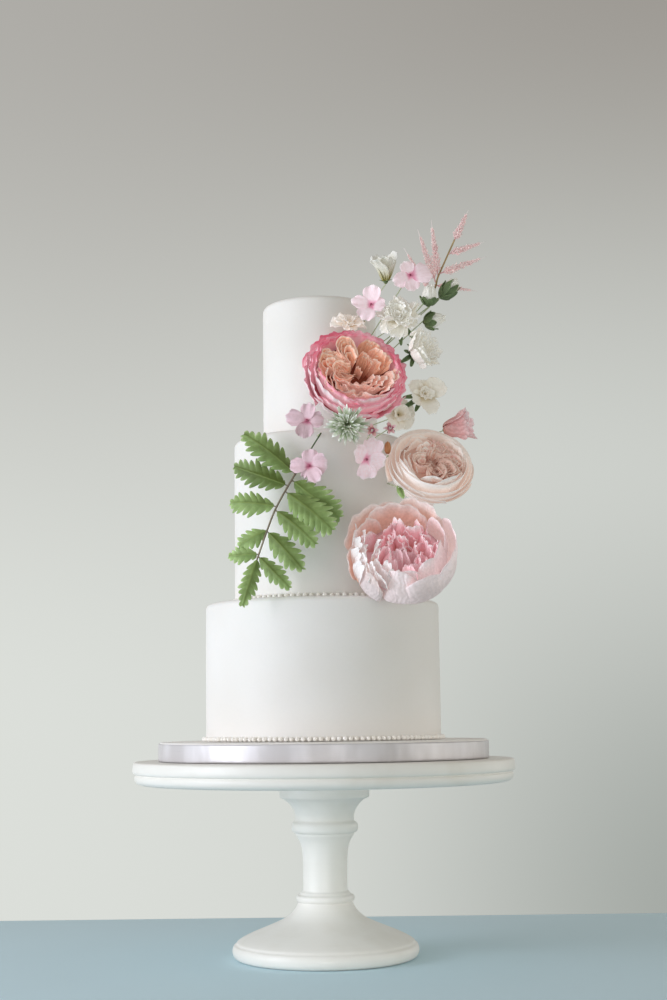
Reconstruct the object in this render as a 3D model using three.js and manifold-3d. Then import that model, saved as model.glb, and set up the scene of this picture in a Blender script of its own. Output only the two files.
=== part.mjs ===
// Three-tier iced cake on a turned stand, with a ribboned board, a posy of sugar flowers
// and a spray of sugar leaves. Millimetres, +Z up, flowers on the -Y side.
// The origin is on the underside of the stand's foot, on the cake's axis.
import * as THREE from 'three';
import { mergeVertices } from 'three/addons/utils/BufferGeometryUtils.js';
import Module from 'manifold-3d';

const wasm = await Module();
wasm.setup();

const TURN = Math.PI * 2;
const CLEARANCE = 0.3; // air between neighbouring pieces

// ---- driving sizes -------------------------------------------------------------------
const STAND = {
  footRadius: 79.8,
  columnRadius: 18.8,
  flangeRadius: 39,
  height: 145.7,
  plateRadius: 164.3,
  plateUnderside: 146,
  plateTop: 166.2,
};
const BOARD = { radius: 141.2, foot: 166.5, top: 182.5, edge: 1.6 };
const RIBBON = { inner: 141.5, outer: 142.3, foot: 166.8, top: 181.2 };
const TIERS = {
  bottom: { radius: 101.6, foot: 182.8, top: 300.2, beads: 135, sides: 45 },
  middle: { radius: 76.4, foot: 300.5, top: 443, beads: 90, sides: 36 },
  top: { radius: 50.6, foot: 443.3, top: 566, beads: 60, sides: 36 },
};
const TIER_EDGE = 4.5; // rounding of each tier's upper edge
const BEAD = { size: 4, proud: 3.9, valley: 0.9 };
const WIRE_RADIUS = 0.8;

// ---- small helpers -------------------------------------------------------------------

/** Repeatable value from 0 to 1 for a piece number and a draw number. */
function draw(seed, index) {
  const value = Math.sin(seed * 12.9898 + index * 78.233) * 43758.5453;
  return value - Math.floor(value);
}

/** Repeatable value from -1 to 1. */
function sway(seed, index) {
  return 2 * draw(seed, index) - 1;
}

/** Blend from a to b. */
function mix(a, b, t) {
  return a + (b - a) * t;
}

/** Indexed geometry from a list of points and a list of vertex triples. */
function geometryOf(points, faces) {
  const geometry = new THREE.BufferGeometry();
  geometry.setAttribute('position', new THREE.Float32BufferAttribute(points.flat(), 3));
  geometry.setIndex(faces.flat());
  return mergeVertices(geometry, 1e-4);
}

/** Manifold solid of an indexed geometry. */
function solidOf(geometry) {
  const mesh = new wasm.Mesh({
    numProp: 3,
    vertProperties: new Float32Array(geometry.attributes.position.array),
    triVerts: new Uint32Array(geometry.index.array),
  });
  return new wasm.Manifold(mesh);
}

/** Signed volume of a closed set of triangles. */
function volumeOf(positions, triangles) {
  const corner = (k) => new THREE.Vector3().fromArray(positions, 3 * k);
  return triangles.reduce((sum, [a, b, c]) => sum + corner(a).dot(corner(b).cross(corner(c))) / 6, 0);
}

/** Outer skin of a joined solid: pockets closed in by its petals are filled. */
function outerSkin(positions, index) {
  const owner = Array.from({ length: positions.length / 3 }, (unused, k) => k);
  const root = (k) => {
    let at = k;
    while (owner[at] !== at) {
      owner[at] = owner[owner[at]];
      at = owner[at];
    }
    return at;
  };
  for (let k = 0; k < index.length; k += 3) {
    owner[root(index[k + 1])] = root(index[k]);
    owner[root(index[k + 2])] = root(index[k]);
  }
  const shells = new Map();
  for (let k = 0; k < index.length; k += 3) {
    const key = root(index[k]);
    if (!shells.has(key)) shells.set(key, []);
    shells.get(key).push([index[k], index[k + 1], index[k + 2]]);
  }
  const sized = [...shells.values()].map((faces) => ({ faces, volume: volumeOf(positions, faces) }));
  const solids = sized.filter((shell) => shell.volume > 0);
  if (solids.length !== 1) throw new Error(`${solids.length} separate bodies where one is meant`);
  return solids[0].faces.flat();
}

/** Union of several indexed geometries as one indexed geometry. */
function fuse(geometries) {
  let whole = solidOf(geometries[0]);
  for (const geometry of geometries.slice(1)) {
    whole = whole.add(solidOf(geometry));
  }
  const mesh = whole.getMesh();
  const positions = [];
  for (let k = 0; k < mesh.numVert; k += 1) {
    positions.push(...mesh.vertProperties.slice(k * mesh.numProp, k * mesh.numProp + 3));
  }
  const fused = new THREE.BufferGeometry();
  fused.setAttribute('position', new THREE.Float32BufferAttribute(positions, 3));
  fused.setIndex(outerSkin(positions, Array.from(mesh.triVerts)));
  return fused;
}

/** Level ring of points about the Z axis; radiusAt may vary round the ring. */
function ring(count, height, radiusAt, phase = 0) {
  const points = [];
  for (let k = 0; k < count; k += 1) {
    const angle = (TURN * (k + phase)) / count;
    const radius = typeof radiusAt === 'function' ? radiusAt(k) : radiusAt;
    points.push([radius * Math.cos(angle), radius * Math.sin(angle), height]);
  }
  return { points, count, phase };
}

/** Triangles between two rings that may differ in their number of points. */
function bridge(lower, upper, lowerStart, upperStart, faces) {
  let i = 0;
  let j = 0;
  while (i < lower.count || j < upper.count) {
    const nextLower = (i + 1 + lower.phase) / lower.count;
    const nextUpper = (j + 1 + upper.phase) / upper.count;
    const a = lowerStart + (i % lower.count);
    const b = upperStart + (j % upper.count);
    if (i < lower.count && (j >= upper.count || nextLower <= nextUpper)) {
      faces.push([a, lowerStart + ((i + 1) % lower.count), b]);
      i += 1;
    } else {
      faces.push([a, upperStart + ((j + 1) % upper.count), b]);
      j += 1;
    }
  }
}

/** Closed solid through a run of rings, closed by fans to its first and last points. */
function skin(rings, start, end) {
  const points = [];
  const faces = [];
  const starts = rings.map((level) => {
    const first = points.length;
    points.push(...level.points);
    return first;
  });
  for (let k = 1; k < rings.length; k += 1) {
    bridge(rings[k - 1], rings[k], starts[k - 1], starts[k], faces);
  }
  const first = rings[0];
  const last = rings[rings.length - 1];
  const tail = starts[rings.length - 1];
  const under = points.push(start) - 1;
  const over = points.push(end) - 1;
  for (let k = 0; k < first.count; k += 1) {
    faces.push([under, (k + 1) % first.count, k]);
  }
  for (let k = 0; k < last.count; k += 1) {
    faces.push([over, tail + k, tail + ((k + 1) % last.count)]);
  }
  return geometryOf(points, faces);
}

/** Closed solid through level rings listed from the bottom up, capped on the axis. */
function stackSolid(rings) {
  const height = (level) => level.points[0][2];
  return skin(rings, [0, 0, height(rings[0])], [0, 0, height(rings[rings.length - 1])]);
}

/** Turned solid about the Z axis from [radius, height] pairs, bottom to top. */
function turned(profile, sides) {
  return stackSolid(profile.map(([radius, height]) => ring(sides, height, radius)));
}

/** Round limb along a path, with a radius for each path point; its ends are closed. */
function limb(path, radii, sides) {
  const points = [];
  const faces = [];
  const nodes = path.map((p) => new THREE.Vector3(...p));
  const whole = nodes[nodes.length - 1].clone().sub(nodes[0]).normalize();
  const guide = Math.abs(whole.z) > 0.8 ? new THREE.Vector3(1, 0, 0) : new THREE.Vector3(0, 0, 1);
  nodes.forEach((node, k) => {
    const before = nodes[Math.max(k - 1, 0)];
    const after = nodes[Math.min(k + 1, nodes.length - 1)];
    const heading = after.clone().sub(before).normalize();
    const u = guide.clone().cross(heading).normalize();
    const v = heading.clone().cross(u);
    for (let m = 0; m < sides; m += 1) {
      const angle = (TURN * m) / sides;
      const rim = node.clone().addScaledVector(u, radii[k] * Math.cos(angle));
      points.push(rim.addScaledVector(v, radii[k] * Math.sin(angle)).toArray());
    }
  });
  for (let k = 1; k < nodes.length; k += 1) {
    for (let m = 0; m < sides; m += 1) {
      const a = (k - 1) * sides + m;
      const b = (k - 1) * sides + ((m + 1) % sides);
      faces.push([a, b, b + sides], [a, b + sides, a + sides]);
    }
  }
  const start = points.push(path[0]) - 1;
  const end = points.push(path[path.length - 1]) - 1;
  const tail = (nodes.length - 1) * sides;
  for (let m = 0; m < sides; m += 1) {
    faces.push([start, (m + 1) % sides, m]);
    faces.push([end, tail + m, tail + ((m + 1) % sides)]);
  }
  return geometryOf(points, faces);
}

/** Gently sagging wire from a flower to its foot on the cake. */
function wire(from, to, sag = 0) {
  const middle = [0, 1, 2].map((k) => mix(from[k], to[k], 0.5));
  middle[2] -= sag;
  return limb([from, middle, to], [WIRE_RADIUS, WIRE_RADIUS, WIRE_RADIUS], 4);
}

/** Point just clear of a tier's wall, at an angle in degrees from +X and a height. */
function wallPoint(tier, degrees, height) {
  const angle = (degrees * Math.PI) / 180;
  const radius = tier.radius + CLEARANCE + 0.8 * WIRE_RADIUS;
  return [radius * Math.cos(angle), radius * Math.sin(angle), height];
}

/** Placement of a flower: at is its base, aim the way it faces, spin a turn about aim. */
function facing(at, aim, spin = 0) {
  const z = new THREE.Vector3(...aim).normalize();
  const x = new THREE.Vector3(0, 0, 1).cross(z).normalize();
  const y = z.clone().cross(x);
  const u = x.clone().multiplyScalar(Math.cos(spin)).addScaledVector(y, Math.sin(spin));
  const v = z.clone().cross(u);
  return new THREE.Matrix4().makeBasis(u, v, z).setPosition(new THREE.Vector3(...at));
}

// ---- flower forms, in a flower's own frame: +Z is the way the flower faces ---------------

/** Point of a flower's own frame in the cake's frame. */
function inPlace(placement, point) {
  return new THREE.Vector3(...point).applyMatrix4(placement).toArray();
}

/** Ring of a flower; at(angle, k) gives its radius and height, or a fixed pair does. */
function whorl(placement, count, at, phase = 0) {
  const points = [];
  for (let k = 0; k < count; k += 1) {
    const angle = (TURN * (k + phase)) / count;
    const [radius, height] = typeof at === 'function' ? at(angle, k) : at;
    const local = [radius * Math.cos(angle), radius * Math.sin(angle), height];
    points.push(inPlace(placement, local));
  }
  return { points, count, phase };
}

/** Rings of the wire that carries a flower, from its foot on the cake to the flower's neck. */
function wireRings(placement, foot, neck) {
  const from = new THREE.Vector3(...foot);
  const to = new THREE.Vector3(...inPlace(placement, [0, 0, neck]));
  const heading = to.clone().sub(from).normalize();
  const side = new THREE.Vector3().setFromMatrixColumn(placement, 0);
  const u = side.addScaledVector(heading, -side.dot(heading)).normalize();
  const v = heading.clone().cross(u);
  return [0, 0.9].map((t) => {
    const centre = from.clone().lerp(to, t);
    const points = [0, 1, 2, 3].map((m) => centre.clone()
      .addScaledVector(u, WIRE_RADIUS * Math.cos((TURN * m) / 4))
      .addScaledVector(v, WIRE_RADIUS * Math.sin((TURN * m) / 4)).toArray());
    return { points, count: 4, phase: 0 };
  });
}

/** Place along one petal of a lobed ring: -1 and 1 at its edges, 0 at its middle. */
function petalPlace(angle, petals, turn) {
  const share = (angle * petals) / TURN - turn;
  return 2 * (share - Math.floor(share)) - 1;
}

/** Rim of overlapping petals: each one rises in its middle and steps outward along its edge. */
function petalRim(p) {
  return (angle) => {
    const s = petalPlace(angle, p.petals, p.turn ?? 0);
    const edge = Math.abs(s) ** (p.sharp ?? 3);
    const frill = (p.frill ?? 0) * Math.sin((p.waves ?? 0) * angle);
    const radius = p.reach * (1 - (p.notch ?? 0) * edge) + (p.step ?? 0) * s * (1 - edge) + frill;
    return [radius, p.rise - (p.dip ?? 0) * edge + 0.7 * frill];
  };
}

/** One row of petals: its crest, and the crease between it and the row inside it. */
function petalRow(placement, row) {
  const crease = {
    ...row, reach: row.reach - row.lean, rise: row.rise - row.depth, step: 0, frill: 0, dip: 0,
  };
  return [
    whorl(placement, row.count, petalRim(row)),
    whorl(placement, Math.round(0.7 * row.count), petalRim(crease)),
  ];
}

/** Many-petalled flower on a wire: a bowl, and rows of petals listed from the outside in. */
function fullFlower({ placement, foot, neck, base, belly, rows, heart }) {
  const outer = rows[0];
  const side = { ...outer, reach: belly.reach, rise: belly.rise, frill: 0, dip: 0 };
  return skin([
    ...wireRings(placement, foot, neck - 1),
    whorl(placement, 8, [3, neck]),
    whorl(placement, 12, base),
    whorl(placement, Math.round(0.7 * outer.count), petalRim(side)),
    ...rows.flatMap((row) => petalRow(placement, row)),
  ], foot, inPlace(placement, [0, 0, heart]));
}

/** Lobed blossom on a wire: a thin cup of petals, its heart and its wire in one skin. */
function blossom(b) {
  const placement = facing(b.at, b.aim, b.spin);
  const thick = b.thick ?? 1.5;
  const rim = petalRim({
    petals: b.petals, turn: 0.5, sharp: 2.2, notch: b.notch ?? 0.42, reach: b.reach,
    rise: b.rise, dip: b.dip ?? 0.1 * b.rise, step: b.step ?? 0.6, frill: b.frill, waves: 3,
  });
  const belly = b.belly ?? 0.35;
  const middle = (side) => (angle) => {
    const [radius] = rim(angle);
    return [0.56 * radius - 0.3 * side, belly * b.rise + 0.5 * thick * side];
  };
  return skin([
    ...wireRings(placement, b.foot, -b.neck),
    whorl(placement, 4, [1.6, -0.7 * thick]),
    whorl(placement, b.petals * 3, middle(-1)),
    whorl(placement, b.petals * 6, rim),
    whorl(placement, b.petals * 3, middle(1)),
    whorl(placement, b.petals, [1.7, 0.9]),
  ], b.foot, inPlace(placement, [0, 0, b.heart ?? 0.5]));
}

// ---- the cake, its board and its stand --------------------------------------------------

/** Iced tier with rounded upper edge and a border of beads round its foot. */
function tierSolid(tier) {
  const { radius, foot, top, beads, sides } = tier;
  const scallop = (k) => radius + (k % 2 === 0 ? BEAD.proud : BEAD.valley);
  return stackSolid([
    ring(beads, foot, radius + 0.62 * BEAD.proud),
    ring(beads * 2, foot + 0.45 * BEAD.size, scallop),
    ring(beads, foot + 0.95 * BEAD.size, radius + 0.42 * BEAD.proud),
    ring(sides, foot + 1.05 * BEAD.size, radius),
    ring(sides, top - TIER_EDGE, radius),
    ring(sides, top - 0.3 * TIER_EDGE, radius - 0.3 * TIER_EDGE),
    ring(sides, top, radius - TIER_EDGE),
  ]);
}

/** Turned foot, column and flange of the stand. */
function pedestalSolid() {
  const foot = STAND.footRadius;
  const column = STAND.columnRadius;
  const profile = [
    [foot - 6.5, 0], [foot - 1.9, 2], [foot, 6.6], [foot - 1.4, 11.2], [foot - 3.3, 12.4],
    [foot - 3.9, 14.2], [67, 19], [55, 23.9], [42.6, 28.9], [33.2, 33.4], [26.6, 39.4],
    [23.2, 46.4], [24.6, 48.2], [24.6, 51.2], [21.6, 52.4], [21, 54.6], [column, 56],
    [column, 72], [19.2, 88], [21.6, 97.2], [24.8, 101.4], [25, 103.4], [28, 105],
    [28.9, 109.2], [27.4, 112.6], [25.2, 114.2], [25.4, 120.4], [28, 126.2], [33, 131.6],
    [STAND.flangeRadius - 0.6, 134], [STAND.flangeRadius, STAND.height],
  ];
  return turned(profile, 28);
}

/** Turned plate with a grooved edge. */
function plateSolid() {
  const rim = STAND.plateRadius;
  const under = STAND.plateUnderside;
  const top = STAND.plateTop;
  const profile = [
    [rim - 16, under], [rim - 5.2, under + 1], [rim - 1.9, under + 4.6], [rim - 1.8, under + 8.2],
    [rim - 2.8, under + 9.1], [rim - 0.5, under + 10.2], [rim, top - 5.5], [rim - 0.8, top - 1.2],
    [rim - 2.6, top],
  ];
  return turned(profile, 56);
}

/** Iced board under the cake. */
function boardSolid() {
  const { radius, foot, top, edge } = BOARD;
  const profile = [[radius, foot], [radius, top - edge], [radius - edge, top]];
  return turned(profile, 56);
}

/** Ribbon band round the board's edge. */
function ribbonSolid() {
  const band = (radius) => turned([[radius, RIBBON.foot], [radius, RIBBON.top]], 56);
  const hollow = turned([[RIBBON.inner, RIBBON.foot - 5], [RIBBON.inner, RIBBON.top + 5]], 56);
  const cut = solidOf(band(RIBBON.outer)).subtract(solidOf(hollow)).getMesh();
  const geometry = new THREE.BufferGeometry();
  geometry.setAttribute('position', new THREE.Float32BufferAttribute(cut.vertProperties, 3));
  geometry.setIndex(Array.from(cut.triVerts));
  return geometry;
}

// ---- the three large flowers -------------------------------------------------------------

/** Full rose with three rows of frilled outer petals and a quartered centre. */
function coralRose() {
  return fullFlower({
    placement: facing([27.5, -56, 481], [0.2, -0.86, 0.46], 0.3),
    foot: wallPoint(TIERS.top, -58, 477),
    neck: -4,
    base: [20, -0.5],
    belly: { reach: 39.5, rise: 9 },
    rows: [
      {
        count: 36, petals: 6, reach: 44, rise: 25, dip: 4, step: 2.4, lean: 6, depth: 7,
        frill: 1.1, waves: 15,
      },
      {
        count: 30, petals: 5, reach: 38.5, rise: 30, dip: 3, step: 2.2, lean: 5.5, depth: 9,
        frill: 0.9, waves: 12, turn: 0.5,
      },
      {
        count: 30, petals: 5, reach: 33, rise: 31.5, dip: 3, step: 1.8, lean: 5, depth: 11,
        frill: 0.8, waves: 11, turn: 0.1,
      },
      { count: 28, petals: 7, reach: 26, rise: 30, dip: 4, step: 1.4, turn: 0.3, lean: 4.2, depth: 9 },
      { count: 20, petals: 5, reach: 18.5, rise: 29, dip: 4, step: 1.2, turn: 0.6, lean: 4.2, depth: 9 },
      { count: 16, petals: 4, reach: 11, rise: 27.5, dip: 3, step: 0.8, turn: 0.2, lean: 4.5, depth: 8 },
    ],
    heart: 20,
  });
}

/** Blush rose with broad smooth outer petals and a folded centre. */
function blushRose() {
  return fullFlower({
    placement: facing([92, -50, 402], [0.14, -0.77, 0.62], 0.2),
    foot: wallPoint(TIERS.middle, -30, 391),
    neck: -4,
    base: [18, -0.5],
    belly: { reach: 35.5, rise: 7 },
    rows: [
      { count: 30, petals: 5, reach: 39.5, rise: 21, dip: 3.5, step: 2.6, lean: 5.5, depth: 8 },
      { count: 24, petals: 4, reach: 33.5, rise: 26, dip: 2, step: 2.4, turn: 0.4, lean: 5, depth: 10 },
      { count: 24, petals: 6, reach: 26, rise: 26, dip: 3, step: 1.6, turn: 0.1, lean: 4.2, depth: 8 },
      { count: 20, petals: 5, reach: 18.5, rise: 25, dip: 3, step: 1.2, turn: 0.6, lean: 4.2, depth: 8 },
      { count: 16, petals: 4, reach: 11, rise: 23, dip: 3, step: 0.8, turn: 0.3, lean: 4.5, depth: 7 },
    ],
    heart: 17,
  });
}

/** Open peony: deep outer petals round a crowd of narrow ones. */
function peony() {
  return fullFlower({
    placement: facing([68, -76, 322], [-0.06, -0.84, 0.5], 0.2),
    foot: wallPoint(TIERS.middle, -46, 314),
    neck: -5,
    base: [24, 0.5],
    belly: { reach: 44.5, rise: 13 },
    rows: [
      {
        count: 42, petals: 7, reach: 48, rise: 32, dip: 6, step: 3, lean: 6, depth: 9,
        frill: 0.7, waves: 13,
      },
      { count: 36, petals: 6, reach: 41.5, rise: 38, dip: 6, step: 2.4, turn: 0.4, lean: 5.5, depth: 14 },
      { count: 36, petals: 9, reach: 34, rise: 35, dip: 9, step: 1.4, turn: 0.2, lean: 4.5, depth: 12 },
      { count: 32, petals: 8, reach: 26.5, rise: 35, dip: 9, step: 1.2, turn: 0.7, lean: 4.5, depth: 12 },
      { count: 24, petals: 6, reach: 19, rise: 36, dip: 8, step: 1, turn: 0.4, lean: 4.5, depth: 12 },
      { count: 16, petals: 4, reach: 11.5, rise: 35, dip: 6, step: 0.6, lean: 4.5, depth: 11 },
    ],
    heart: 24,
  });
}

// ---- small blossoms, buds and green heads -------------------------------------------------

/** Closed bud on a wire, held by three spreading sepals. */
function bud({ from, to, radius, foot }) {
  const aim = [0, 1, 2].map((k) => to[k] - from[k]);
  const length = Math.hypot(...aim);
  const placement = facing(from, aim);
  const sepals = (angle, k) => (k % 2 === 0
    ? [1.35 * radius, 0.66 * length] : [radius, 0.3 * length]);
  return skin([
    ...wireRings(placement, foot, -2),
    whorl(placement, 6, [0.5 * radius, 0]),
    whorl(placement, 6, [radius, 0.26 * length]),
    whorl(placement, 6, sepals),
    whorl(placement, 6, [0.86 * radius, 0.48 * length]),
    whorl(placement, 6, [0.72 * radius, 0.78 * length]),
  ], foot, inPlace(placement, [0, 0, length]));
}

/** Half-open pink flower, a frilled funnel of three petals. */
function pinkBud() {
  const placement = facing([108, -38, 447], [0.93, -0.3, 0.2], 0.4);
  const foot = wallPoint(TIERS.middle, -14, 439);
  const rim = { petals: 3, reach: 13.5, rise: 24, dip: 5, step: 1.6, frill: 1.1, waves: 8 };
  return skin([
    ...wireRings(placement, foot, -4),
    whorl(placement, 6, [2, -1.5]),
    whorl(placement, 6, [4.6, 5]),
    whorl(placement, 12, petalRim({ ...rim, reach: 8.5, rise: 14, dip: 0, frill: 0 })),
    whorl(placement, 21, petalRim(rim)),
    whorl(placement, 12, petalRim({ ...rim, reach: 6.2, rise: 16, dip: 0, frill: 0 })),
  ], foot, inPlace(placement, [0, 0, 10]));
}

/** Round head of narrow green florets in three tiers of points. */
function greenHead() {
  const placement = facing([22.6, -96, 441], [0.02, -0.99, -0.1], 0);
  const foot = wallPoint(TIERS.middle, -73, 434);
  const star = (reach, crest, inner, dell, seed) => (angle, k) => (k % 2 === 0
    ? [reach * (1 + 0.12 * sway(seed, k)), crest + 1.5 * sway(seed, k + 30)]
    : [inner, dell]);
  return skin([
    ...wireRings(placement, foot, -3),
    whorl(placement, 6, [2.4, -1]),
    whorl(placement, 13, [7, 2.4]),
    whorl(placement, 26, star(20.5, 5, 10, 4.4, 51)),
    whorl(placement, 13, [9.4, 7]),
    whorl(placement, 22, star(17, 12, 8.4, 8.4, 52), 0.5),
    whorl(placement, 11, [7.2, 10.4]),
    whorl(placement, 14, star(10.5, 17, 4.6, 11, 53)),
  ], foot, inPlace(placement, [0, 0, 9.5]));
}

/** Tiny four-petalled floret on its own wire. */
function tinyFloret({ at, foot, spin }) {
  return blossom({
    at, aim: [0.05, -1, -0.1], spin, foot, petals: 4, reach: 6, rise: 1.6, neck: 2,
    thick: 1.1, notch: 0.55, step: 0.2,
  });
}

// ---- leaves and plume ----------------------------------------------------------------------

/** Toothed leaf: two alike faces that share their edge, with a raised middle rib. */
function leaf({ base, tip, width, teeth, lean = [0, -1, 0.2], arch = 0.08, thick = 1.5 }) {
  const start = new THREE.Vector3(...base);
  const along = new THREE.Vector3(...tip).sub(start);
  const length = along.length();
  const x = along.clone().normalize();
  const y = new THREE.Vector3(...lean).cross(x).normalize();
  const z = x.clone().cross(y);
  const at = (u, v, w) => start.clone().addScaledVector(x, u).addScaledVector(y, v)
    .addScaledVector(z, w).toArray();
  const rows = teeth * 2;
  const points = [];
  for (let k = 0; k <= rows; k += 1) {
    const t = k / rows;
    const swell = Math.sin(Math.PI * (0.1 + 0.84 * t) ** 0.8);
    const notch = k % 2 === 0 ? 0.7 : 1.12;
    const half = Math.max(width * swell * notch, 0.6);
    const bow = arch * length * Math.sin(Math.PI * t);
    const body = thick * (0.55 + 0.45 * Math.sin(Math.PI * t));
    const slip = k % 2 === 0 ? 0 : 0.35 * (length / rows);
    points.push(at(t * length, 0, bow + body / 2), at(t * length, 0, bow - body / 2));
    points.push(at(t * length + slip, half, bow - 0.12 * half));
    points.push(at(t * length + slip, -half, bow - 0.12 * half));
  }
  const faces = [];
  for (let k = 0; k < rows; k += 1) {
    const a = 4 * k;
    const b = 4 * (k + 1);
    faces.push([a, b, b + 2], [a, b + 2, a + 2], [a, b + 3, b], [a, a + 3, b + 3]);
    faces.push([a + 1, b + 2, b + 1], [a + 1, a + 2, b + 2]);
    faces.push([a + 1, b + 1, b + 3], [a + 1, b + 3, a + 3]);
  }
  const end = 4 * rows;
  faces.push([0, 2, 1], [0, 1, 3], [end, end + 1, end + 2], [end, end + 3, end + 1]);
  return geometryOf(points, faces);
}

/** Spray of eleven toothed leaflets along one stem; joint counts stem nodes from the top. */
function leafSpray() {
  const stem = [
    [1.2, -83, 437.5], [-21.5, -92, 400], [-36, -97, 373.5], [-43, -99, 356], [-52, -101, 330],
  ];
  const stemAt = (joint) => {
    const k = Math.min(Math.floor(joint), stem.length - 2);
    return [0, 1, 2].map((axis) => mix(stem[k][axis], stem[k + 1][axis], joint - k));
  };
  const leaflets = [
    { joint: 0.95, tip: [-64.9, -84, 438.1], width: 10.5, teeth: 4 },
    { joint: 1.32, tip: [-73.2, -80, 410.9], width: 10.5, teeth: 4 },
    { joint: 1.98, tip: [-75.9, -84, 379.2], width: 10, teeth: 4 },
    { joint: 3.06, tip: [-67.9, -94, 341.2], width: 8, teeth: 3 },
    { joint: 3.83, tip: [-76.3, -92, 333.7], width: 6.5, teeth: 3 },
    { joint: 3.94, tip: [-63.9, -111, 289.9], width: 7, teeth: 4 },
    { joint: 3.9, tip: [-24.2, -112, 304.2], width: 7, teeth: 4 },
    { joint: 3.1, tip: [-13.9, -110, 319.2], width: 9.5, teeth: 4 },
    { joint: 2.14, tip: [-2.9, -108, 339.7], width: 9.5, teeth: 4 },
    { joint: 1.5, tip: [11, -106, 351.2], width: 13, teeth: 4 },
    { joint: 1.13, tip: [17.5, -90, 364], width: 12, teeth: 4 },
  ];
  const leaves = leaflets.map(({ joint, tip, width, teeth }, k) => {
    const lean = [0.12 * sway(61, k), -1, 0.25 * sway(62, k)];
    return leaf({ base: stemAt(joint), tip, width, teeth, lean });
  });
  const hook = wire([0.2, -83.6, 436.5], wallPoint(TIERS.middle, -91.5, 436));
  return fuse([limb(stem, [1.1, 1.1, 1, 0.9, 0.8], 5), ...leaves, hook]);
}

/** Feathery flower head: one stem with slender tapering plumes. */
function plume() {
  const stem = [[60, -17, 530], [98, -34, 568.4], [106, -36, 586.4], [120.6, -36, 618.4]];
  const plumes = [
    [[120, -36, 617], [133.4, -36, 645.2], 5.2],
    [[105.4, -35.6, 584.9], [100.3, -36.5, 636.8], 4.6],
    [[103.1, -35.2, 579.9], [88.2, -33.5, 629], 4.8],
    [[114.6, -36, 605.2], [147.7, -36, 616.3], 4.2],
    [[106.6, -36.2, 587.6], [148.8, -37, 602.5], 4.8],
    [[102.1, -35, 577.6], [139.9, -32, 572.3], 2.4],
    [[99.1, -34.2, 570.9], [75.7, -30, 613.3], 2.6],
  ];
  const spindle = ([from, to, radius]) => {
    const along = (t) => [0, 1, 2].map((k) => mix(from[k], to[k], t));
    return limb([along(0), along(0.35), along(0.7), along(1)],
      [0.7, 0.62 * radius, 0.42 * radius, 0.3], 4);
  };
  return fuse([
    limb(stem, [0.9, 1.2, 1.4, 1], 5),
    ...plumes.map(spindle),
    wire([60.6, -17.3, 530.6], wallPoint(TIERS.top, -8, 517)),
  ]);
}

// ---- assembly -------------------------------------------------------------------------------

const FINISH = {
  icing: { color: '#ece9e4', roughness: 0.55 },
  paintedWood: { color: '#e6e3dc', roughness: 0.42 },
  satin: { color: '#d8d5da', roughness: 0.3 },
  coral: { color: '#dd8f94', roughness: 0.6 },
  blush: { color: '#e2cdc3', roughness: 0.6 },
  peony: { color: '#e9cbc7', roughness: 0.6 },
  pink: { color: '#e2c6d0', roughness: 0.6 },
  white: { color: '#dedacd', roughness: 0.6 },
  bud: { color: '#8b9b6b', roughness: 0.6 },
  sage: { color: '#a3b496', roughness: 0.65 },
  leaf: { color: '#7d9c58', roughness: 0.5 },
  plume: { color: '#d3abaa', roughness: 0.7 },
  peach: { color: '#b5825f', roughness: 0.6 },
};

const cake = new THREE.Group();
cake.name = 'tiered_cake';

/** Add one named piece to the cake. */
function add(name, geometry, finish) {
  const material = new THREE.MeshStandardMaterial({ ...finish, metalness: 0 });
  material.name = name;
  const mesh = new THREE.Mesh(geometry, material);
  mesh.name = name;
  cake.add(mesh);
}

const topWall = (degrees, height) => wallPoint(TIERS.top, degrees, height);
const middleWall = (degrees, height) => wallPoint(TIERS.middle, degrees, height);

add('stand_pedestal', pedestalSolid(), FINISH.paintedWood);
add('stand_plate', plateSolid(), FINISH.paintedWood);
add('cake_board', boardSolid(), FINISH.icing);
add('board_ribbon', ribbonSolid(), FINISH.satin);
add('tier_bottom', tierSolid(TIERS.bottom), FINISH.icing);
add('tier_middle', tierSolid(TIERS.middle), FINISH.icing);
add('tier_top', tierSolid(TIERS.top), FINISH.icing);

add('rose_coral', coralRose(), FINISH.coral);
add('rose_blush', blushRose(), FINISH.blush);
add('peony_blush', peony(), FINISH.peony);

const PINK = { petals: 4, reach: 16.5, rise: 3.2, neck: 3 };
add('blossom_pink_left', blossom({
  ...PINK, at: [-10.2, -92, 446.2], aim: [-0.14, -0.97, 0.12], spin: 0.9, foot: middleWall(-97, 437),
  reach: 17.5,
}), FINISH.pink);
add('blossom_pink_wall', blossom({
  ...PINK, at: [-8.6, -96, 407.4], aim: [-0.05, -0.98, 0], spin: 1.3, foot: middleWall(-96, 407),
  reach: 17,
}), FINISH.pink);
add('blossom_pink_low', blossom({
  ...PINK, at: [38.2, -88.5, 413.8], aim: [0.3, -0.85, -0.2], spin: 0.7, foot: middleWall(-64, 417),
  reach: 18.5,
}), FINISH.pink);
add('blossom_pink_high', blossom({
  ...PINK, at: [79.4, -59, 580], aim: [0.1, -0.93, -0.32], spin: 0.75, foot: topWall(-30, 533),
  reach: 17.5,
}), FINISH.pink);
add('blossom_pink_tier', blossom({
  ...PINK, at: [45.3, -62, 552.6], aim: [-0.1, -0.96, 0.2], spin: 0.9, foot: topWall(-43, 541),
}), FINISH.pink);

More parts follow.
